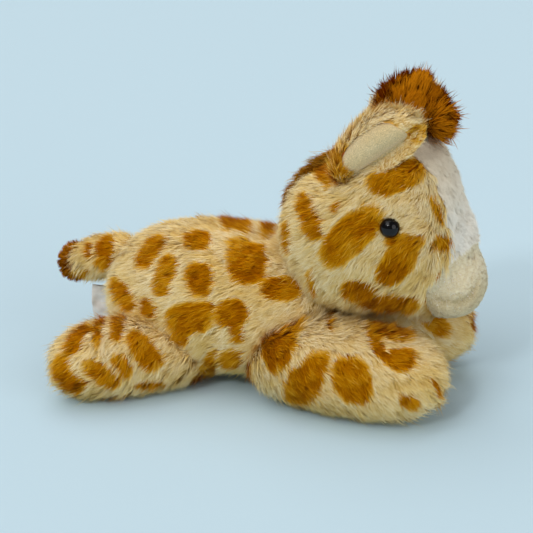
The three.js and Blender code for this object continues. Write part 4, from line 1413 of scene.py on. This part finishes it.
class Ear:
    """A cupped ear. The place (s, a, f) lies s of its length along it, a millimetres across it and f towards
    its front, and it bends downwards with the square of s."""

    def __init__(self, side):
        lift, splay, lean = (math.radians(angle) for angle in (EAR_LIFT, EAR_SPLAY, EAR_LEAN))
        self.long = np.array([
            math.cos(lift) * math.cos(splay), side * math.sin(splay), math.sin(lift) * math.cos(splay)])
        face = np.array([0, side * math.cos(lean), -math.sin(lean)])
        self.face = unit(face - self.long * (face @ self.long))
        self.across = np.cross(self.face, self.long) * side
        self.root = np.array([EAR_ROOT[0], side * EAR_ROOT[1], EAR_ROOT[2]])

    def point(self, s, a, f):
        """Where the place (s, a, f) of the ear lies."""
        s, a, f = (np.asarray(value, float)[..., None] for value in (s, a, f))
        return self.root + EAR_LENGTH * s * self.long + (a + EAR_BEND * s**2) * self.across + f * self.face

    def local(self, points):
        """The place (s, a, f) that each point has in the ear."""
        away = points - self.root
        s = away @ self.long / EAR_LENGTH
        return s, away @ self.across - EAR_BEND * s**2, away @ self.face

    def half(self, s):
        """Half width at s."""
        return EAR_HALF * eased(s, EAR_OUTLINE[:, 0], EAR_OUTLINE[:, 1])

    def front(self, s, t):
        """The way across and towards the front of the leaf's face."""
        half = self.half(s)
        cup = half * (1 - 0.35 * np.maximum(s, 0) ** 2)
        across, ahead = (eased(t, EAR_SECTION[:, 0], EAR_SECTION[:, k]) for k in (1, 2))
        return half * across, cup * ahead

    def rings(self, count=44, sides=40):
        """Sections whose front follows the cup and whose back is a sine arch from edge to edge."""
        s = np.linspace(EAR_OUTLINE[0, 0], 0.995, count)[:, None]
        a, f = self.front(s + np.zeros(sides), np.linspace(-1.6, 1, sides)[None, :])
        f = f - 0.6
        q = np.linspace(0, 1, sides)[None, 1:-1]
        arch = np.sin(np.pi * q) ** 0.7
        share = (1 - np.cos(np.pi * q)) / 2
        bulge = EAR_STUFFING * np.sqrt(np.clip(1 - np.maximum(s, 0) ** 3, 0, 1)) * self.half(s) / EAR_HALF
        back_a = a[:, -1:] + (a[:, :1] - a[:, -1:]) * share
        back_f = f[:, -1:] + (f[:, :1] - f[:, -1:]) * share - bulge * arch
        rings = self.point(s, np.concatenate([a, back_a], 1), np.concatenate([f, back_f], 1))
        return rings, [rings[0].mean(0), rings[-1].mean(0)]

    def pad(self, rows=44, columns=30):
        """The lining: a leaf |u|^3 + |v|^3 < 1 laid on the cup, puffed by (1 - u^4)(1 - v^2), and its
        underside."""
        u = np.linspace(-0.999, 0.999, rows)[:, None]
        v = np.linspace(-1, 1, columns)[None, :]
        s = LINING_MIDDLE[0] + LINING_HALF[0] * u
        t = LINING_MIDDLE[1] + LINING_HALF[1] * np.cbrt(1 - np.abs(u) ** 3) * v
        a, f = self.front(s + 0 * v, t)
        puff = 0.5 + LINING_PUFF * (1 - u**4) * (1 - v**2)
        return self.point(s, a, f + puff), self.point(s, a, f - LINING_DEPTH)

    def lined(self, points):
        """Where the lining covers the leaf's face."""
        s, a, f = self.local(points)
        half = self.half(s)
        t = np.interp(a / half, EAR_SECTION[1:, 1], EAR_SECTION[1:, 0])
        return (f > self.front(s, t)[1] - 2.2) & (t < 0.34) & (t > -0.98) & (s < 0.82) & (s > 0.08)


def slab(near, far):
    """Two layers of the same grid, closed along their edges."""
    rows, columns = near.shape[:2]
    index = np.arange(rows * columns).reshape(rows, columns)
    quads = [grid_faces(index), grid_faces(index + rows * columns)[:, ::-1]]
    rim = np.concatenate([index[0], index[1:, -1], index[-1, -2::-1], index[-2:0:-1, 0]])
    after = np.roll(rim, -1)
    quads.append(np.stack([after, rim, rim + rows * columns, after + rows * columns], -1))
    return np.concatenate([near.reshape(-1, 3), far.reshape(-1, 3)]), np.concatenate(quads)


class GIRAFFE_OT_ears(bpy.types.Operator):
    """Adds the cupped ears: velour lining, plush back and its coat"""

    bl_idname = "giraffe.ears"
    bl_label = "Ears"

    def execute(self, context):
        strands, backing = coat_materials()
        # The lining takes the same painted shade as the backing cloth, with a tint near neutral
        velour = hide_material("ear_velour", VELOUR_TONES, 1500, 0.25, 0.3, (1.0, 0.95, 0.86))
        look = coat_look(context)
        for name, side in SIDES.items():
            ear = Ear(side)
            vertices, faces = slab(*ear.pad())
            faces = faces[:, ::-side].tolist()
            lining = add_piece(f"ear_{name}_lining", vertices, faces)
            paint(lining, velour, coat=0.55 + lumps(places(lining), (0.14, 9, 91), (0.08, 2.5, 92)))
            back = stuffed(f"ear_{name}_back", closed_form(*ear.rings()), 1.3, 0)
            code = printed([
                (ear.point(0.05, -8.4, -3.9), ear.across * 8 + ear.face * 3, ear.long * 12, 2.6),
                (ear.point(0.9, 4, 2.8), ear.across * 5, ear.long * 6, 2.4),
                (ear.point(0.5, 1, -11), ear.across * 7, ear.long * 9, 2.6),
            ], 93)
            paint_code(back, backing, code)
            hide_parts(f"ear_lining_{name}")
            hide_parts(f"ear_back_{name}")

            def outer(points):
                return ~ear.lined(points) & (EGG.level(points) > 0.93)

            def length(points):
                s, a, f = ear.local(points)
                return 2.8 + 4.6 * np.maximum(smoothstep(2, -5, f), smoothstep(0.14, -0.05, s))

            # Painted light: the ear's pile takes a lighter code than the rest of the coat, as if lit on its
            # rim and back
            def light(points, tone):
                return code(points, tone + 0.85)

            coat = pile(f"ear_{name}_coat", back, strands, 94 + side, flow=ear.long, code=light, keep=outer,
                        lift=(36, 10), **(look | dict(length=length, density=1.25 * look["density"])))
            for piece in (lining, back, coat):
                bend(piece)
        return {"FINISHED"}


class GIRAFFE_OT_stuffing(bpy.types.Operator):
    """Adds the fibre and the bead pouches inside the hides, and finishes the washers behind the eyes"""

    bl_idname = "giraffe.stuffing"
    bl_label = "Stuffing"

    def execute(self, context):
        self.wool = grained_material("fibre_wool", ((214, 212, 204), (246, 245, 240)), 220, 0.8, 0.95, 0.3)
        self.cloth = grained_material("pouch_cotton", ((196, 188, 172), (224, 218, 204)), 1400, 0.4, 0.85)
        plastic = grained_material("washer_plastic", ((222, 222, 216), (238, 238, 232)), 500, 0.1, 0.45)
        vertices, faces = closed_form(*TORSO.rings(FIBRE_INSET))
        pouch = np.clip(vertices, (-POUCH[0], -POUCH[1], 0), POUCH)
        over = (np.abs(vertices[:, :2]) < POUCH[:2]).all(1) & (vertices[:, 2] < POUCH[2])
        vertices[over, 2] = POUCH[2] + 0.5
        for node, points, material in (("filling", vertices, self.wool), ("bead_pouch", pouch, self.cloth)):
            self.inside(f"torso_{node}", (points, faces), material, lambda piece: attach(piece, "torso"))
        vertices, faces = closed_form(*EGG.rings(FIBRE_INSET))
        skin = joined((outside_of(vertices, TORSO, 0), faces), closed_form(*MUZZLE.rings(5, 30, 40)))
        self.inside("head_filling", skin, self.wool, bend_head)
        for part, forms in (("front_leg", FRONT), ("hind_leg", HIND)):
            for name, side in SIDES.items():
                form, body = forms[name], f"{part}_{name}"
                vertices, faces = closed_form(*form.rings(FIBRE_INSET))
                vertices = outside_of(vertices, TORSO, -1)
                if part == "front_leg":
                    vertices = under_head(vertices, 4)
                along, split = form.local(vertices)[:, 0], form.half[0] * (1 - 2 * PAW_BEADS)
                for node, low, high, material in (("filling", -200, split - 0.5, self.wool),
                                                  ("bead_pouch", split, 200, self.cloth)):
                    moved = vertices + form.along * (np.clip(along, low, high) - along)[:, None]
                    self.inside(f"{body}_{node}", (moved, faces), material,
                                lambda piece: bend_leg(piece))
        vertices, faces = closed_form(*TAIL.rings(FIBRE_INSET, 24, 32))
        self.inside("tail_filling", (outside_of(vertices, TORSO, 0), faces), self.wool, bend_tail)
        for name in SIDES:
            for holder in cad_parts[f"eye_washer_{name}"].material_slots:
                holder.material = plastic
        return {"FINISHED"}

    def inside(self, node, form, material, hold):
        """A lumpy stuffed form that stands for a node inside a hide, handed to a last function."""

        def shape(points, normals):
            return points + normals * lumps(points, (0.6, 12, 51), (0.3, 5, 52))[:, None]

        piece = stuffed(f"{node}_soft", form, 5, 0, shape)
        piece.data.materials.append(material)
        hold(piece)
        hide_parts(node)


class GIRAFFE_PT_panel(bpy.types.Panel):
    """Shows the giraffe's settings and a button for each of its operators"""

    bl_label = "Plush giraffe"
    bl_idname = "GIRAFFE_PT_panel"
    bl_space_type = "VIEW_3D"
    bl_region_type = "UI"
    bl_category = "Plush giraffe"

    def draw(self, context):
        for group in ("giraffe_pile", "giraffe_face", "giraffe_stage"):
            settings = getattr(context.scene, group)
            for name in settings.bl_rna.properties.keys():
                if name not in ("rna_type", "name"):
                    self.layout.prop(settings, name)
        for operator in OPERATORS:
            self.layout.operator(operator.bl_idname)


OPERATORS = (
    GIRAFFE_OT_stage, GIRAFFE_OT_torso, GIRAFFE_OT_head, GIRAFFE_OT_eyes, GIRAFFE_OT_ears, GIRAFFE_OT_legs,
    GIRAFFE_OT_tail, GIRAFFE_OT_hair, GIRAFFE_OT_stuffing,
)
SETTINGS = {"giraffe_pile": PileSettings, "giraffe_face": FaceSettings, "giraffe_stage": StageSettings}


def register():
    for cls in (*SETTINGS.values(), *OPERATORS, GIRAFFE_PT_panel):
        bpy.utils.register_class(cls)
    for name, cls in SETTINGS.items():
        setattr(bpy.types.Scene, name, PointerProperty(type=cls))


def unregister():
    for name in SETTINGS:
        delattr(bpy.types.Scene, name)
    for cls in (GIRAFFE_PT_panel, *reversed(OPERATORS), *SETTINGS.values()):
        bpy.utils.unregister_class(cls)


def main():
    register()
    for operator in OPERATORS:
        group, name = operator.bl_idname.split(".")
        if getattr(getattr(bpy.ops, group), name)() != {"FINISHED"}:
            raise RuntimeError(f"{operator.bl_label} wasn't finished")


if __name__ == "__main__":
    main()
